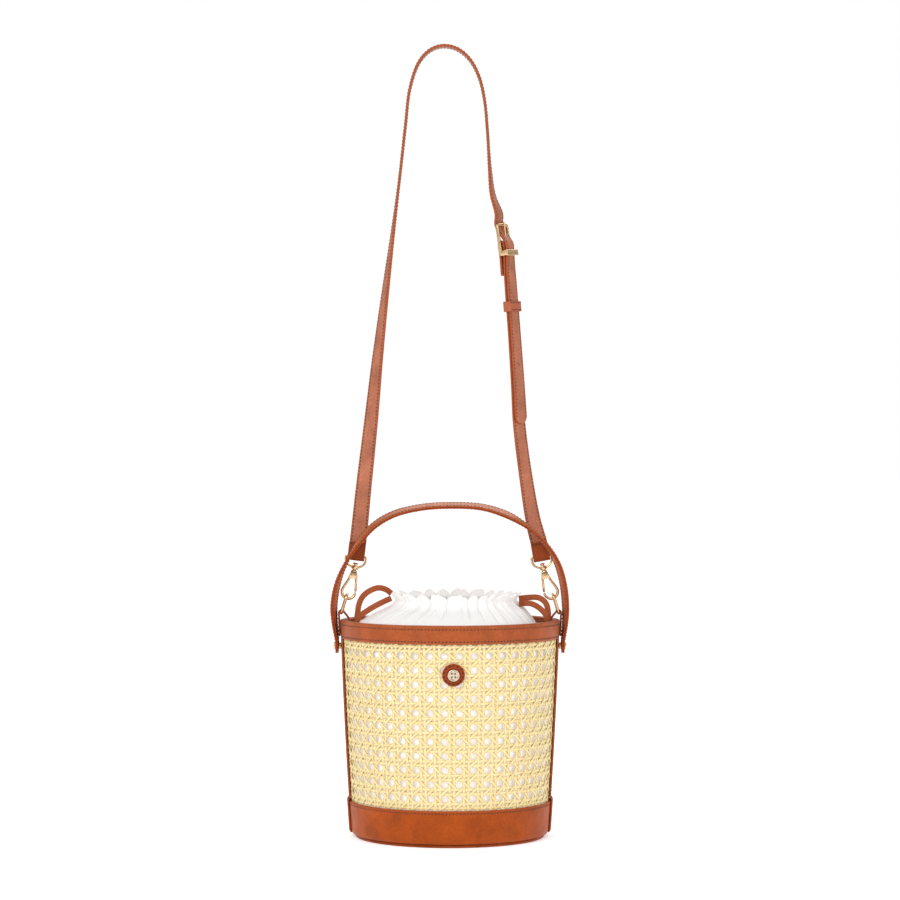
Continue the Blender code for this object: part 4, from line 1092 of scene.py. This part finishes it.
def handle_studs():
    strip_face = wall(HANDLE_PIVOT) + GAP + LEATHER
    thickness = (HANDLE_FACE + HANDLE_LINING + GAP) / 2
    layer_middle = ARCH[-1][0]
    layer_in, layer_out = layer_middle - thickness, layer_middle + thickness
    inner_end = wall(HANDLE_PIVOT) - 0.0030
    cap = layer_out + 0.0001
    profile = [(0.00002, inner_end), (0.0015, inner_end), (0.0015, strip_face + GAP),
               (0.0030, strip_face + GAP), (0.0030, layer_in - GAP), (0.0015, layer_in - GAP),
               (0.0015, cap), (0.0035, cap), (0.0036, cap + 0.0005), (0.0031, cap + 0.0011),
               (0.0019, cap + 0.00155), (0.00002, cap + 0.0017)]
    for side in SIGN:
        stud = lathe(f"handle_stud_{side}_skin", rounded(profile, 0.0003, 3, False), PLATE, "bucket",
                     side_place(side), 40, ring=False)
        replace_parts(stud, f"handle_stud_{side}")


# ---------------------------------------------------------------- rings, hooks and loops
RING_BAR, RING_TOP = (0.0948, 0.1948), (0.0900, 0.2107)
HOOK_BASE = (0.0888, 0.2069)
HOOK_TILT = {"left": 11.5, "right": 15.0}
LOOP_TILT = {"left": 7.0, "right": 10.0}
COLLAR_HEIGHT = 0.0280
TAB_WIDTH = 0.010
RING_WIRE = 0.0013


def ring_tabs():
    """Leather tabs that straddle the rim and hold the rings."""
    bar_x, bar_z = RING_BAR
    reach = RING_WIRE + GAP + LEATHER / 2
    outline = [(0.09625, 0.1745), (0.0966, 0.1840), (0.0969, 0.1912)]
    outline += [(bar_x + reach * math.cos(math.radians(a)), bar_z + reach * math.sin(math.radians(a)))
                for a in (10, 50, 90, 130, 165)]
    outline += [(0.0899, 0.1922), (0.0879, 0.1888), (0.0876, 0.1840), (0.0874, 0.1790)]
    for side, sign in SIGN.items():
        route = [(sign * x, 0.0, z, -90 * sign) for x, z in outline]
        tab = ribbon(f"ring_tab_{side}_skin", route, TAB_WIDTH, LEATHER, HIDE["band"], "bucket", 8)
        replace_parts(tab, f"ring_tab_{side}")
        strap_stitches(f"ring_tab_{side}_stitches", route, TAB_WIDTH, LEATHER, "bucket", 0.0020, 0.0150,
                       faces=(-1,), inset=0.0014)


def smooth_loop(half_x, half_y, radius, steps=10):
    """Rectangle with round corners, as (x, y) points."""
    found = []
    for turn, (sx, sy) in enumerate(((1, 1), (-1, 1), (-1, -1), (1, -1))):
        for step in range(steps + 1):
            angle = math.radians(90 * turn + 90 * step / steps)
            found.append((sx * (half_x - radius) + radius * math.cos(angle),
                          sy * (half_y - radius) + radius * math.sin(angle)))
    return found


def rings():
    for side, sign in SIGN.items():
        low = Vector((sign * RING_BAR[0], 0.0, RING_BAR[1]))
        high = Vector((sign * RING_TOP[0], 0.0, RING_TOP[1]))
        up = (high - low).normalized()
        across = Vector((0.0, 1.0, 0.0))
        middle = (low + high) / 2
        points = [middle + across * y + up * z
                  for y, z in smooth_loop(0.0088, (high - low).length / 2, 0.0034)]
        ring = wire(f"ring_{side}_skin", [list(p) for p in points], RING_WIRE, PLATE, f"{side}_ring",
                    True, 16, across.cross(up))
        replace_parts(ring, f"ring_{side}")


def hook_place(side):
    sign = SIGN[side]
    tilt = math.radians(HOOK_TILT[side])
    out = Vector((sign * math.cos(tilt), 0.0, math.sin(tilt)))
    up = Vector((-sign * math.sin(tilt), 0.0, math.cos(tilt)))
    return axis_place((sign * HOOK_BASE[0], 0.0, HOOK_BASE[1]), out, Vector((0.0, 1.0, 0.0)), up)


BOW = [(0.0022, 0.0205), (0.0033, 0.0165), (0.0052, 0.0120), (0.0067, 0.0078),
       (0.0068, 0.0048), (0.0052, 0.0018), (0.0025, 0.0003), (-0.0003, 0.0002),
       (-0.0030, 0.0018), (-0.0046, 0.0042), (-0.0049, 0.0068)]
GATE_PIVOT = (-0.0029, 0.0197)


def taper(item, place, low, high, share):
    """Narrow a piece across the hook between two heights."""
    back = place.inverted()
    for vertex in item.data.vertices:
        local = back @ vertex.co
        rise = min(1.0, max(0.0, (local.z - low) / (high - low)))
        local.x *= 1.0 - (1.0 - share) * rise
        vertex.co = place @ local
    return item


def hooks():
    """Snap hooks: pear-shaped bow, shouldered neck, swivel post with its head, and a spring gate."""
    for side in SIGN:
        place = hook_place(side)
        curve = spline([(x, 0.0, z) for x, z in BOW], 8)
        share = np.linspace(0, 1, len(curve))
        radius = 0.00114 + 0.00016 * np.sin(np.pi * share) ** 2
        radius[-6:] *= np.array([1.0, 0.99, 0.96, 0.9, 0.78, 0.5])
        parts = [wire("bow", curve, radius, PLATE, None, place=place)]
        for name, low_point, high_point, bevel in (
                ("neck_near", (-0.0043, -0.0022, 0.0184), (0.0038, -0.0011, 0.0246), 0.0005),
                ("neck_far", (-0.0043, 0.0011, 0.0184), (0.0038, 0.0022, 0.0246), 0.0005),
                ("neck_core", (-0.0008, -0.0018, 0.0188), (0.0036, 0.0018, 0.0246), 0.0006),
                ("neck_step", (-0.0046, -0.0024, 0.0206), (0.0040, 0.0024, 0.0218), 0.0004),
                ("neck_top", (-0.0044, -0.0022, 0.0228), (0.0040, 0.0022, 0.0251), 0.0007)):
            cheek = block(name, low_point, high_point, bevel, PLATE, place)
            parts.append(taper(cheek, place, 0.0190, 0.0250, 0.58))
        post = [(0.00002, 0.0240), (0.0023, 0.0240), (0.0026, 0.0246), (0.0022, 0.0256),
                (0.0013, 0.0259), (0.0012, 0.0306), (0.0024, 0.0307), (0.0025, 0.0313),
                (0.0017, 0.0322), (0.00002, 0.0325)]
        parts.append(lathe("post", rounded(post, 0.0002, 3, False), PLATE, None, place, 32, ring=False))
        hook = merge(f"hook_{side}_skin", parts, PLATE, f"{side}_hook")
        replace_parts(hook, f"hook_{side}")
        x, z = GATE_PIVOT
        bar = [(-0.0048, 0.0, 0.0073), (-0.0047, 0.0, 0.0078), (x - 0.0006, 0.0, z - 0.003),
               (x - 0.0001, 0.0, z - 0.0010)]
        gate_parts = [wire("bar", bar, (0.0007, 0.0011, 0.0011, 0.0009), PLATE, None, place=place)]
        gate_parts.append(block("root", (x - 0.0010, -0.0008, z - 0.0022),
                                (x + 0.0008, 0.0008, z + 0.0010), 0.0003, PLATE, place))
        gate_parts.append(wire("pin", [(x, -0.0024, z), (x, -0.0023, z), (x, 0.0023, z), (x, 0.0024, z)],
                               (0.0006, 0.0008, 0.0008, 0.0006), PLATE, None, normal=(0, 0, 1),
                               place=place))
        gate = merge(f"gate_{side}_skin", gate_parts, PLATE, f"{side}_gate")
        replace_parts(gate, f"gate_{side}")


def loop_frame(side):
    sign = SIGN[side]
    collar = hook_place(side) @ Vector((0.0, 0.0, COLLAR_HEIGHT))
    tilt = math.radians(LOOP_TILT[side])
    up = Vector((-sign * math.sin(tilt), 0.0, math.cos(tilt)))
    bar = collar + up * ((LOOP_BAR_HEIGHT - collar.z) / math.cos(tilt))
    return collar, bar, up


def strap_loops():
    """D-shaped loops with a straight strap bar and a collar on the swivel post."""
    half = 0.0088
    for side in SIGN:
        collar, bar, up = loop_frame(side)
        back = Vector((0.0, 1.0, 0.0))
        across = back.cross(up)
        drop = (bar - collar).length
        straight = 0.0034
        outline = [(x, 0.0) for x in np.linspace(-half + 0.0012, half - 0.0012, 12)]
        outline += [(half - 0.0003, -0.0003), (half, -0.0012)]
        outline += [(half * math.cos(angle), -straight - (drop - straight) * math.sin(angle))
                    for angle in np.radians(range(0, 181, 6))]
        outline += [(-half, -0.0012), (-half + 0.0003, -0.0003)]
        points = [list(bar + across * x + up * z) for x, z in outline]
        parts = [wire("loop", points, 0.0010, PLATE, None, True)]
        place = hook_place(side)
        low, high = COLLAR_HEIGHT - 0.0017, COLLAR_HEIGHT + 0.0017
        collar_ring = rounded([(0.0015, low), (0.0030, low), (0.0032, (low + high) / 2), (0.0030, high),
                               (0.0015, high)], 0.0005, 3)
        parts.append(lathe("knuckle", collar_ring, PLATE, None, place, 40))
        loop = merge(f"strap_loop_{side}_skin", parts, PLATE, f"{side}_link")
        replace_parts(loop, f"strap_loop_{side}")


# ---------------------------------------------------------------- crossbody strap
BUCKLE_CENTRE = (0.0470, 0.0, 0.5205)
BUCKLE_LEAN, BUCKLE_AZIMUTH = 8.5, -118.0
BUCKLE_HALF_WIDTH, BUCKLE_HALF_HEIGHT = 0.0095, 0.0135
HINGE_BAR_DROP, FRONT_BAR_DROP, FRONT_BAR_PASS, HINGE_BAR = 0.004, 0.0118, 0.0042, 0.0010
KEEPER_HEIGHT, KEEPER_WIDTH = 0.4625, 0.009
FOLD_PLAY = {"left": 0.0002, "right": 0.0008}
TAIL = [(0.0530, -0.0010, 0.4960, -121), (0.0542, 0.0, 0.4800, -124), (0.0555, 0.0, 0.4625, -125),
        (0.0572, 0.0, 0.4400, -126), (0.0602, 0.0, 0.3950, -131), (0.0622, 0.0, 0.3600, -136)]


def buckle_place():
    """+X across the strap, +Y out of the buckle's face, +Z down the strap."""
    lean, azimuth = math.radians(BUCKLE_LEAN), math.radians(BUCKLE_AZIMUTH)
    down = Vector((math.sin(lean), 0.0, -math.cos(lean)))
    across = Vector((math.cos(azimuth), math.sin(azimuth), 0.0))
    across = (across - down * across.dot(down)).normalized()
    return axis_place(BUCKLE_CENTRE, across, across.cross(down), down)


def buckle_point(drop, out):
    place = buckle_place()
    across = place.to_3x3().col[0]
    azimuth, tilt = math.atan2(across.y, across.x), math.asin(across.z)
    return (*(place @ Vector((0.0, out, drop))), math.degrees(azimuth), math.degrees(tilt))


def layer_below(point, depth):
    x, y, z, azimuth = point
    out = Vector((-math.sin(math.radians(azimuth)), math.cos(math.radians(azimuth)), 0.0))
    return (x - out.x * depth, y - out.y * depth, z, azimuth)


def end_point(side, above, behind):
    _, bar, up = loop_frame(side)
    azimuth = 0 if side == "left" else -180
    return (*(bar + up * above + Vector((0.0, behind, 0.0))), azimuth, -LOOP_TILT[side])


def fold_radius(side):
    return 0.0010 + GAP + FOLD_PLAY[side] + STRAP / 2


def fold_round_bar(side):
    found = []
    for turn in (0, 40, 90, 140, 180):
        angle = math.radians(turn)
        found.append(end_point(side, -fold_radius(side) * math.sin(angle),
                               -fold_radius(side) * math.cos(angle)))
    return found


def long_route():
    bar = loop_frame("left")[1]
    radius = fold_radius("left")
    points = [end_point("left", 0.0150, radius), end_point("left", 0.0050, radius)]
    points += reversed(fold_round_bar("left"))
    points += [end_point("left", 0.0060, -radius), (bar.x + 0.0024, -0.0012, 0.2640, -4),
               (-0.0754, 0.0, 0.3050, -20), (-0.0688, 0.0, 0.3640, -36),
               (-0.0631, 0.0, 0.4190, -52), (-0.0566, 0.0, 0.4740, -67),
               (-0.0497, 0.0, 0.5290, -81), (-0.0440, 0.0, 0.5750, -88),
               (-0.0390, 0.0, 0.6200, -90), (-0.0350, 0.0, 0.6530, -90),
               (-0.0270, 0.0, 0.6760, -90), (-0.0170, 0.0, 0.6865, -90),
               (-0.0060, 0.0, 0.6900, -90), (0.0065, 0.0, 0.6873, -90),
               (0.0175, 0.0, 0.6780, -90), (0.0256, 0.0, 0.6625, -90),
               (0.0303, 0.0, 0.6420, -90), (0.0328, 0.0, 0.6150, -91),
               (0.0347, 0.0, 0.5850, -96), (0.0374, 0.0, 0.5600, -106)]
    points += [buckle_point(drop, out) for drop, out in (
        (-0.0230, -0.0010), (-0.0135, -0.0026), (-0.0045, 0.0010), (0.0040, 0.0048),
        (FRONT_BAR_DROP, FRONT_BAR_PASS))]
    return points + TAIL


def short_route():
    around = HINGE_BAR + GAP + STRAP / 2
    points = [buckle_point(drop, out)
              for drop, out in ((0.0310, -0.0038), (0.0230, -0.0031), (0.0120, -around))]
    for turn in (0, 40, 90, 140, 180):
        angle = math.radians(turn)
        points.append(buckle_point(HINGE_BAR_DROP - around * math.sin(angle),
                                   -around * math.cos(angle)))
    points.append(buckle_point(FRONT_BAR_DROP, FRONT_BAR_PASS - LAYER))
    points += [layer_below(point, LAYER) for point in TAIL]
    radius = fold_radius("right")
    points += [(0.0664, 0.0006, 0.3130, -142), (0.0728, 0.0, 0.2750, -158),
               end_point("right", 0.0110, -0.0026), end_point("right", 0.0045, -radius)]
    points += fold_round_bar("right")
    return points + [end_point("right", 0.0050, radius), end_point("right", 0.0165, radius)]


def straps():
    long_points, short_points = long_route(), short_route()
    strap = ribbon("strap_long_skin", long_points, STRAP_WIDTH, STRAP, HIDE["strap"], "strap",
                   round_ends=(False, True))
    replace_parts(strap, "strap_long")
    strap = ribbon("strap_short_skin", short_points, STRAP_WIDTH, STRAP, HIDE["strap"], "strap")
    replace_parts(strap, "strap_short")
    bars = [loop_frame(side)[1] for side in SIGN]
    strap_stitches("strap_long_stitches", long_points, STRAP_WIDTH, STRAP, "strap", 0.004, -0.0065,
                   bars=bars)
    strap_stitches("strap_short_stitches", short_points, STRAP_WIDTH, STRAP, "strap", 0.004, -0.004,
                   bars=bars)


def strap_ends():
    """Leather sewn round each strap end, over the loop's bar; its darker colour is painted shade in the
    fold.
    """
    for side, middle, upper in (("left", 0.0038, 0.0034), ("right", 0.0044, 0.0039)):
        reach = fold_radius(side) + STRAP / 2 + 0.0004
        route = [end_point(side, -reach * math.sin(math.radians(a)), -reach * math.cos(math.radians(a)))
                 for a in (75, 50, 25, 0)]
        route += [end_point(side, 0.0065, -middle), end_point(side, 0.0125, -upper)]
        name = f"strap_end_{side}"
        ribbon(name, route, STRAP_WIDTH + 0.0002, 0.0006, HIDE["fold"], "strap")
        samples = spline([(*point, 0.0)[:5] for point in route], 24)
        total = path_lengths(samples)[-1]
        row = np.array([total - 0.0019, total - 0.0016])
        centres, across, out, _ = strap_frames(at_lengths(samples, row))
        x = spread(-STRAP_WIDTH / 2 + 0.0016, STRAP_WIDTH / 2 - 0.0016, STITCH_PITCH * 0.9)[:, None]
        front = out[0] * (1.0 if out[0][1] < 0 else -1.0)
        seats = centres[0] + across[0] * x + front * 0.00024
        stitches(f"{name}_stitches", seats, np.broadcast_to(across[0], seats.shape), front, "strap")


def tail_holes():
    """Punched adjusting holes, near black inside: painted shade in the hole."""
    samples = spline([(*point, 0.0) for point in TAIL], 24)
    centres, across, out, along = strap_frames(samples)
    crater = [(0.00002, -0.0004), (0.0008, -0.0003), (0.0010, 0.00006), (0.0012, 0.00008),
              (0.0013, -0.0001), (0.0013, -0.0006), (0.00002, -0.0006)]
    for number, height in enumerate((0.4960, 0.4705, 0.4400, 0.4120)):
        nearest = int(np.argmin(np.abs(samples[:, 2] - height)))
        place = axis_place(centres[nearest] + out[nearest] * STRAP / 2, Vector(across[nearest]),
                           Vector(along[nearest]), Vector(out[nearest]))
        lathe(f"tail_hole_{number}", crater, HIDE["hole_shade"], "strap", place, 24, ring=False)


def buckle():
    """Rectangular frame, hinge bar behind the strap and a loop bar across its front."""
    place = buckle_place()
    top = [(x, z) for x, z in smooth_loop(BUCKLE_HALF_WIDTH, BUCKLE_HALF_HEIGHT, 0.0026, 8) if z < 0.0]
    foot = FRONT_BAR_DROP + 0.0016
    loop = np.array([(-BUCKLE_HALF_WIDTH, foot), *top, (BUCKLE_HALF_WIDTH, foot)])
    along = unit(np.gradient(loop, axis=0))
    side = np.stack([along[:, 1], -along[:, 0]], -1)
    section = rounded([(-0.0011, -0.0012), (0.0011, -0.0012), (0.0011, 0.0014), (-0.0011, 0.0014)],
                      0.0007, 4)
    flat = loop[:, None] + side[:, None] * section[None, :, :1]
    points = np.stack([flat[..., 0], np.broadcast_to(section[None, :, 1], flat.shape[:2]),
                       flat[..., 1]], -1)
    parts = [skin("frame", moved(points, place), PLATE, None)]
    reach = BUCKLE_HALF_WIDTH
    parts.append(wire("hinge", [(x, 0.0, HINGE_BAR_DROP) for x in (-reach, 0.0, reach)], HINGE_BAR, PLATE,
                      None, normal=(0, 0, 1), place=place))
    low, high = FRONT_BAR_DROP - 0.0027, FRONT_BAR_DROP + 0.0027
    face = FRONT_BAR_PASS + STRAP / 2 + 2 * GAP
    parts.append(block("front_bar", (-reach - 0.0013, face, low), (reach + 0.0013, face + 0.0012, high),
                       0.0005, PLATE, place))
    for name, x in (("near_post", -reach), ("far_post", reach)):
        parts.append(block(name, (x - 0.0012, 0.0002, low + 0.0004),
                           (x + 0.0012, face + 0.0008, high - 0.0004), 0.0005, PLATE, place))
    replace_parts(merge("buckle_frame_skin", parts, PLATE, "strap"), "buckle_frame")
    eye_place = (place @ Matrix.Translation((0.0, 0.0, HINGE_BAR_DROP))
                 @ Matrix.Rotation(math.radians(90), 4, "Y"))
    inner, outer, half = HINGE_BAR + 0.00025, HINGE_BAR + 0.0011, 0.0013
    eye = lathe("eye", rounded([(inner, -half), (outer, -half), (outer, half), (inner, half)], 0.0003, 3),
                PLATE, None, eye_place, 40)
    pin = [(0.0, 0.0016, HINGE_BAR_DROP - 0.0008), (0.0, 0.0018, HINGE_BAR_DROP - 0.0014),
           (0.0, 0.0023, -0.006), (0.0, 0.0027, -BUCKLE_HALF_HEIGHT - 0.0014),
           (0.0, 0.0026, -BUCKLE_HALF_HEIGHT - 0.0024)]
    pin_radius = np.concatenate([np.full(19, 0.0009), np.linspace(0.0009, 0.0004, 6)])
    tongue = wire("pin", spline(pin, 6), pin_radius, PLATE, None, normal=(1, 0, 0), place=place)
    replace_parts(merge("buckle_tongue_skin", [eye, tongue], PLATE, "tongue"), "buckle_tongue")


def keeper():
    """Stitched leather loop that holds the tail against the short strap."""
    samples = spline([(*point, 0.0) for point in TAIL], 12)
    nearest = int(np.argmin(np.abs(samples[:, 2] - KEEPER_HEIGHT)))
    centres, across_all, out_all, _ = strap_frames(samples)
    centre, across, out = centres[nearest], across_all[nearest], out_all[nearest]
    down = np.cross(out, across)
    middle = centre - out * (LAYER / 2)
    half_x = STRAP_WIDTH / 2 + GAP + LEATHER / 2 + 0.0003
    half_y = STRAP + GAP / 2 + GAP + LEATHER / 2 + 0.0003
    loop = np.array(smooth_loop(half_x, half_y, 0.0014, 6))
    away = unit(np.stack([np.sign(loop[:, 0]) * np.abs(loop[:, 0] / half_x) ** 5,
                          np.sign(loop[:, 1]) * np.abs(loop[:, 1] / half_y) ** 5], -1))
    section = rounded([(-LEATHER / 2, -KEEPER_WIDTH / 2), (LEATHER / 2, -KEEPER_WIDTH / 2),
                       (LEATHER / 2, KEEPER_WIDTH / 2), (-LEATHER / 2, KEEPER_WIDTH / 2)], 0.0006, 4)
    place = middle + loop[:, :1] * across + loop[:, 1:] * out
    radial = away[:, :1] * across + away[:, 1:] * out
    points = (place[:, None] + radial[:, None] * section[None, :, :1] + down * section[None, :, 1:])
    edge = np.clip((np.abs(section[:, 1]) - KEEPER_WIDTH / 2 + 0.0009) / 0.0006, 0, 1)
    item = skin("keeper_skin", points, HIDE["strap"], "strap_keeper", closed=True,
                values={"edge": np.broadcast_to(edge, points.shape[:2])})
    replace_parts(item, "keeper")
    rows = []
    x = spread(-half_x + 0.0018, half_x - 0.0018, STITCH_PITCH)[:, None]
    for level in (-1, 1):
        seats = middle + across * x + out * (half_y + LEATHER / 2 - 0.0001) + down * level * 0.0031
        rows.append(seats)
    seats = np.concatenate(rows)
    stitches("keeper_stitches", seats, np.broadcast_to(across, seats.shape), out, "strap_keeper")


# ---------------------------------------------------------------- liner
FRILL_DIPS = [-75.0, -58.0, -39.0, -25.0, -8.0, 12.0, 21.5, 31.0, 39.5, 62.0, 78.0]
MOUTH_SHIFT = 0.0045         # the gathered mouth sits a little towards +X
LINER_INSET = -0.0046        # from the wall to the middle of the cloth
CLOTH = 0.0007
CLOTH_RADIUS = 0.086         # where the cloth's weave is laid out round the cup


def fold_pattern(angles):
    """0 in the pinched dips of the gathers and 1 on the puffs between them."""
    dips = list(FRILL_DIPS)
    angle = FRILL_DIPS[-1]
    while angle < 360.0 + FRILL_DIPS[0] - 9.0:
        angle += chance.uniform(9.0, 21.0)
        dips.append(angle)
    if dips[-1] > 360.0 + FRILL_DIPS[0] - 6.0:
        dips.pop()
    dips = np.array(dips + [360.0 + FRILL_DIPS[0]])
    turned = (angles - FRILL_DIPS[0]) % 360.0 + FRILL_DIPS[0]
    index = np.clip(np.searchsorted(dips, turned, side="right") - 1, 0, len(dips) - 2)
    share = (turned - dips[index]) / (dips[index + 1] - dips[index])
    sizes = np.array([chance.uniform(0.78, 1.0) for _ in dips])
    return np.sin(np.pi * share) ** 0.55 * sizes[index]


def liner():
    """Cotton cup with its gathered shoulder, pinched channel and standing frill."""
    count = 900
    angles = np.arange(count) * 360.0 / count
    puff = fold_pattern(angles)
    fine = sum(chance.uniform(0.5, 1.0) * np.sin(np.radians(k * angles + chance.uniform(0, 360)))
               for k in (31, 43, 58, 71)) / 2.5
    slow = sum(np.sin(np.radians(k * angles + chance.uniform(0, 360))) for k in (2, 3, 5)) / 3.0
    profile = [(wall(0.0064) + LINER_INSET - 0.004, 0.0066), (wall(0.010) + LINER_INSET, 0.010)]
    profile += [(wall(z) + LINER_INSET, z) for z in (0.030, 0.060, 0.090, 0.120, 0.150, 0.168)]
    profile += [(wall(0.178) - 0.0060, 0.1790), (0.0852, 0.1862), (0.0770, 0.1912),
                (0.0690, 0.1948), (0.0615, 0.1978), (0.0560, 0.2005), (0.0528, 0.2035),
                (0.0518, 0.2054), (0.0524, 0.2074), (0.0537, 0.2092), (0.0547, 0.2110)]
    levels = 10
    curve = spline([(r, 0.0, z) for r, z in profile], levels)
    length = path_lengths(curve)
    radius, height = curve[:, 0], curve[:, 2]

    def ease(first, last):
        share = np.clip((length - length[levels * first]) / (length[levels * last]
                                                             - length[levels * first]), 0, 1)
        return share * share * (3 - 2 * share)
    shoulder, frill = ease(8, 14), ease(14, 18)
    drop = ease(6, 9) * (1 - ease(9, 13))
    cinch = np.exp(-((length - length[levels * 15]) / 0.0030) ** 2)
    amount = 0.0050 * shoulder * (1 - 0.35 * cinch) + 0.0016 * frill
    push = ((puff[:, None] - 0.62) * amount[None]
            + fine[:, None] * (0.0007 * shoulder + 0.0009 * frill)[None])
    sway = (np.sin(np.radians(11 * angles))[:, None] * np.sin(length * 190.0)[None]
            + np.sin(np.radians(7 * angles + 40))[:, None] * np.cos(length * 120.0)[None])
    ring_radius = (radius[None] + push + sway * 0.0004 * (1 - shoulder)[None]
                   + slow[:, None] * 0.0010 * shoulder[None])
    sag = np.exp(-((angles - 90.0) / 38.0) ** 2)[:, None] * 0.015
    sag = sag + np.exp(-((angles - 270.0) / 30.0) ** 2)[:, None] * 0.003
    z = (height[None] - sag * drop[None] + (puff[:, None] - 0.6) * (0.0036 * frill)[None]
         + (puff[:, None] - 0.6) * (0.0016 * shoulder)[None]
         + fine[:, None] * (0.0007 * shoulder)[None])
    limit = wall(np.minimum(z, BODY_HEIGHT)) - 0.0056
    ring_radius = np.where((z > 0.170) & (z < BODY_HEIGHT + 0.0006), np.minimum(ring_radius, limit),
                           ring_radius)
    points = polar(angles[:, None], ring_radius, z)
    points[..., 0] += MOUTH_SHIFT * shoulder[None]
    uv = np.stack(np.broadcast_arrays(np.radians(angles)[:, None] * CLOTH_RADIUS, length[None]), -1)
    quads = grid_quads(count, len(curve), True, False)
    item = finish_mesh("liner_cotton", points.reshape(-1, 3), quads, NO_FACES, COTTON, None,
                       uv=uv.reshape(-1, 2), uv_period=2 * math.pi * CLOTH_RADIUS, crease=180.0)
    thicken(item, CLOTH)
    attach(item, "bucket")
    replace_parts(item, "liner_cup", "liner_collar")
    rings = 24
    radii = np.linspace(0.0005, wall(0.0064) + LINER_INSET - 0.0042, rings)
    turns = np.arange(120) * 3.0
    waves = 0.0003 * np.sin(np.radians(7 * turns))[:, None] * np.sin(radii * 160.0)[None]
    disc = polar(turns[:, None], radii[None], 0.0068 + waves)
    base = finish_mesh("liner_floor", disc.reshape(-1, 3), grid_quads(120, rings, True, False),
                       fan([i * rings for i in range(120)]), COTTON, None,
                       uv=disc[..., :2].reshape(-1, 2), crease=180.0)
    thicken(base, CLOTH)
    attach(base, "bucket")


def thicken(item, thickness):
    """Give a sheet its thickness and keep the result as a plain mesh."""
    change = item.modifiers.new("thickness", "SOLIDIFY")
    change.thickness = thickness
    change.offset = 0.0
    bpy.context.view_layer.update()
    solid = bpy.data.meshes.new_from_object(item.evaluated_get(bpy.context.evaluated_depsgraph_get()))
    item.modifiers.clear()
    item.data = solid


# ---------------------------------------------------------------- nodes kept from the model
def repaint(names, surface):
    for name in names:
        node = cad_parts[name]
        node.data.materials.clear()
        node.data.materials.append(surface)


def kept_nodes():
    repaint(["base_panel"], HIDE["strip"])
    repaint(["base_board"], board("fibre_board", (0.35, 0.30, 0.24), 600.0))
    repaint(["rim_hoop"], board("hoop_plastic", (0.75, 0.72, 0.66), 300.0))
    repaint(["medallion_washer", "handle_washer_left", "handle_washer_right"], PLATE)


camera()
studio()
drawcords()
cane()
base_parts()
side_strips()
rim_parts()
medallion()
handle()
handle_studs()
ring_tabs()
rings()
hooks()
strap_loops()
straps()
strap_ends()
tail_holes()
buckle()
keeper()
liner()
kept_nodes()
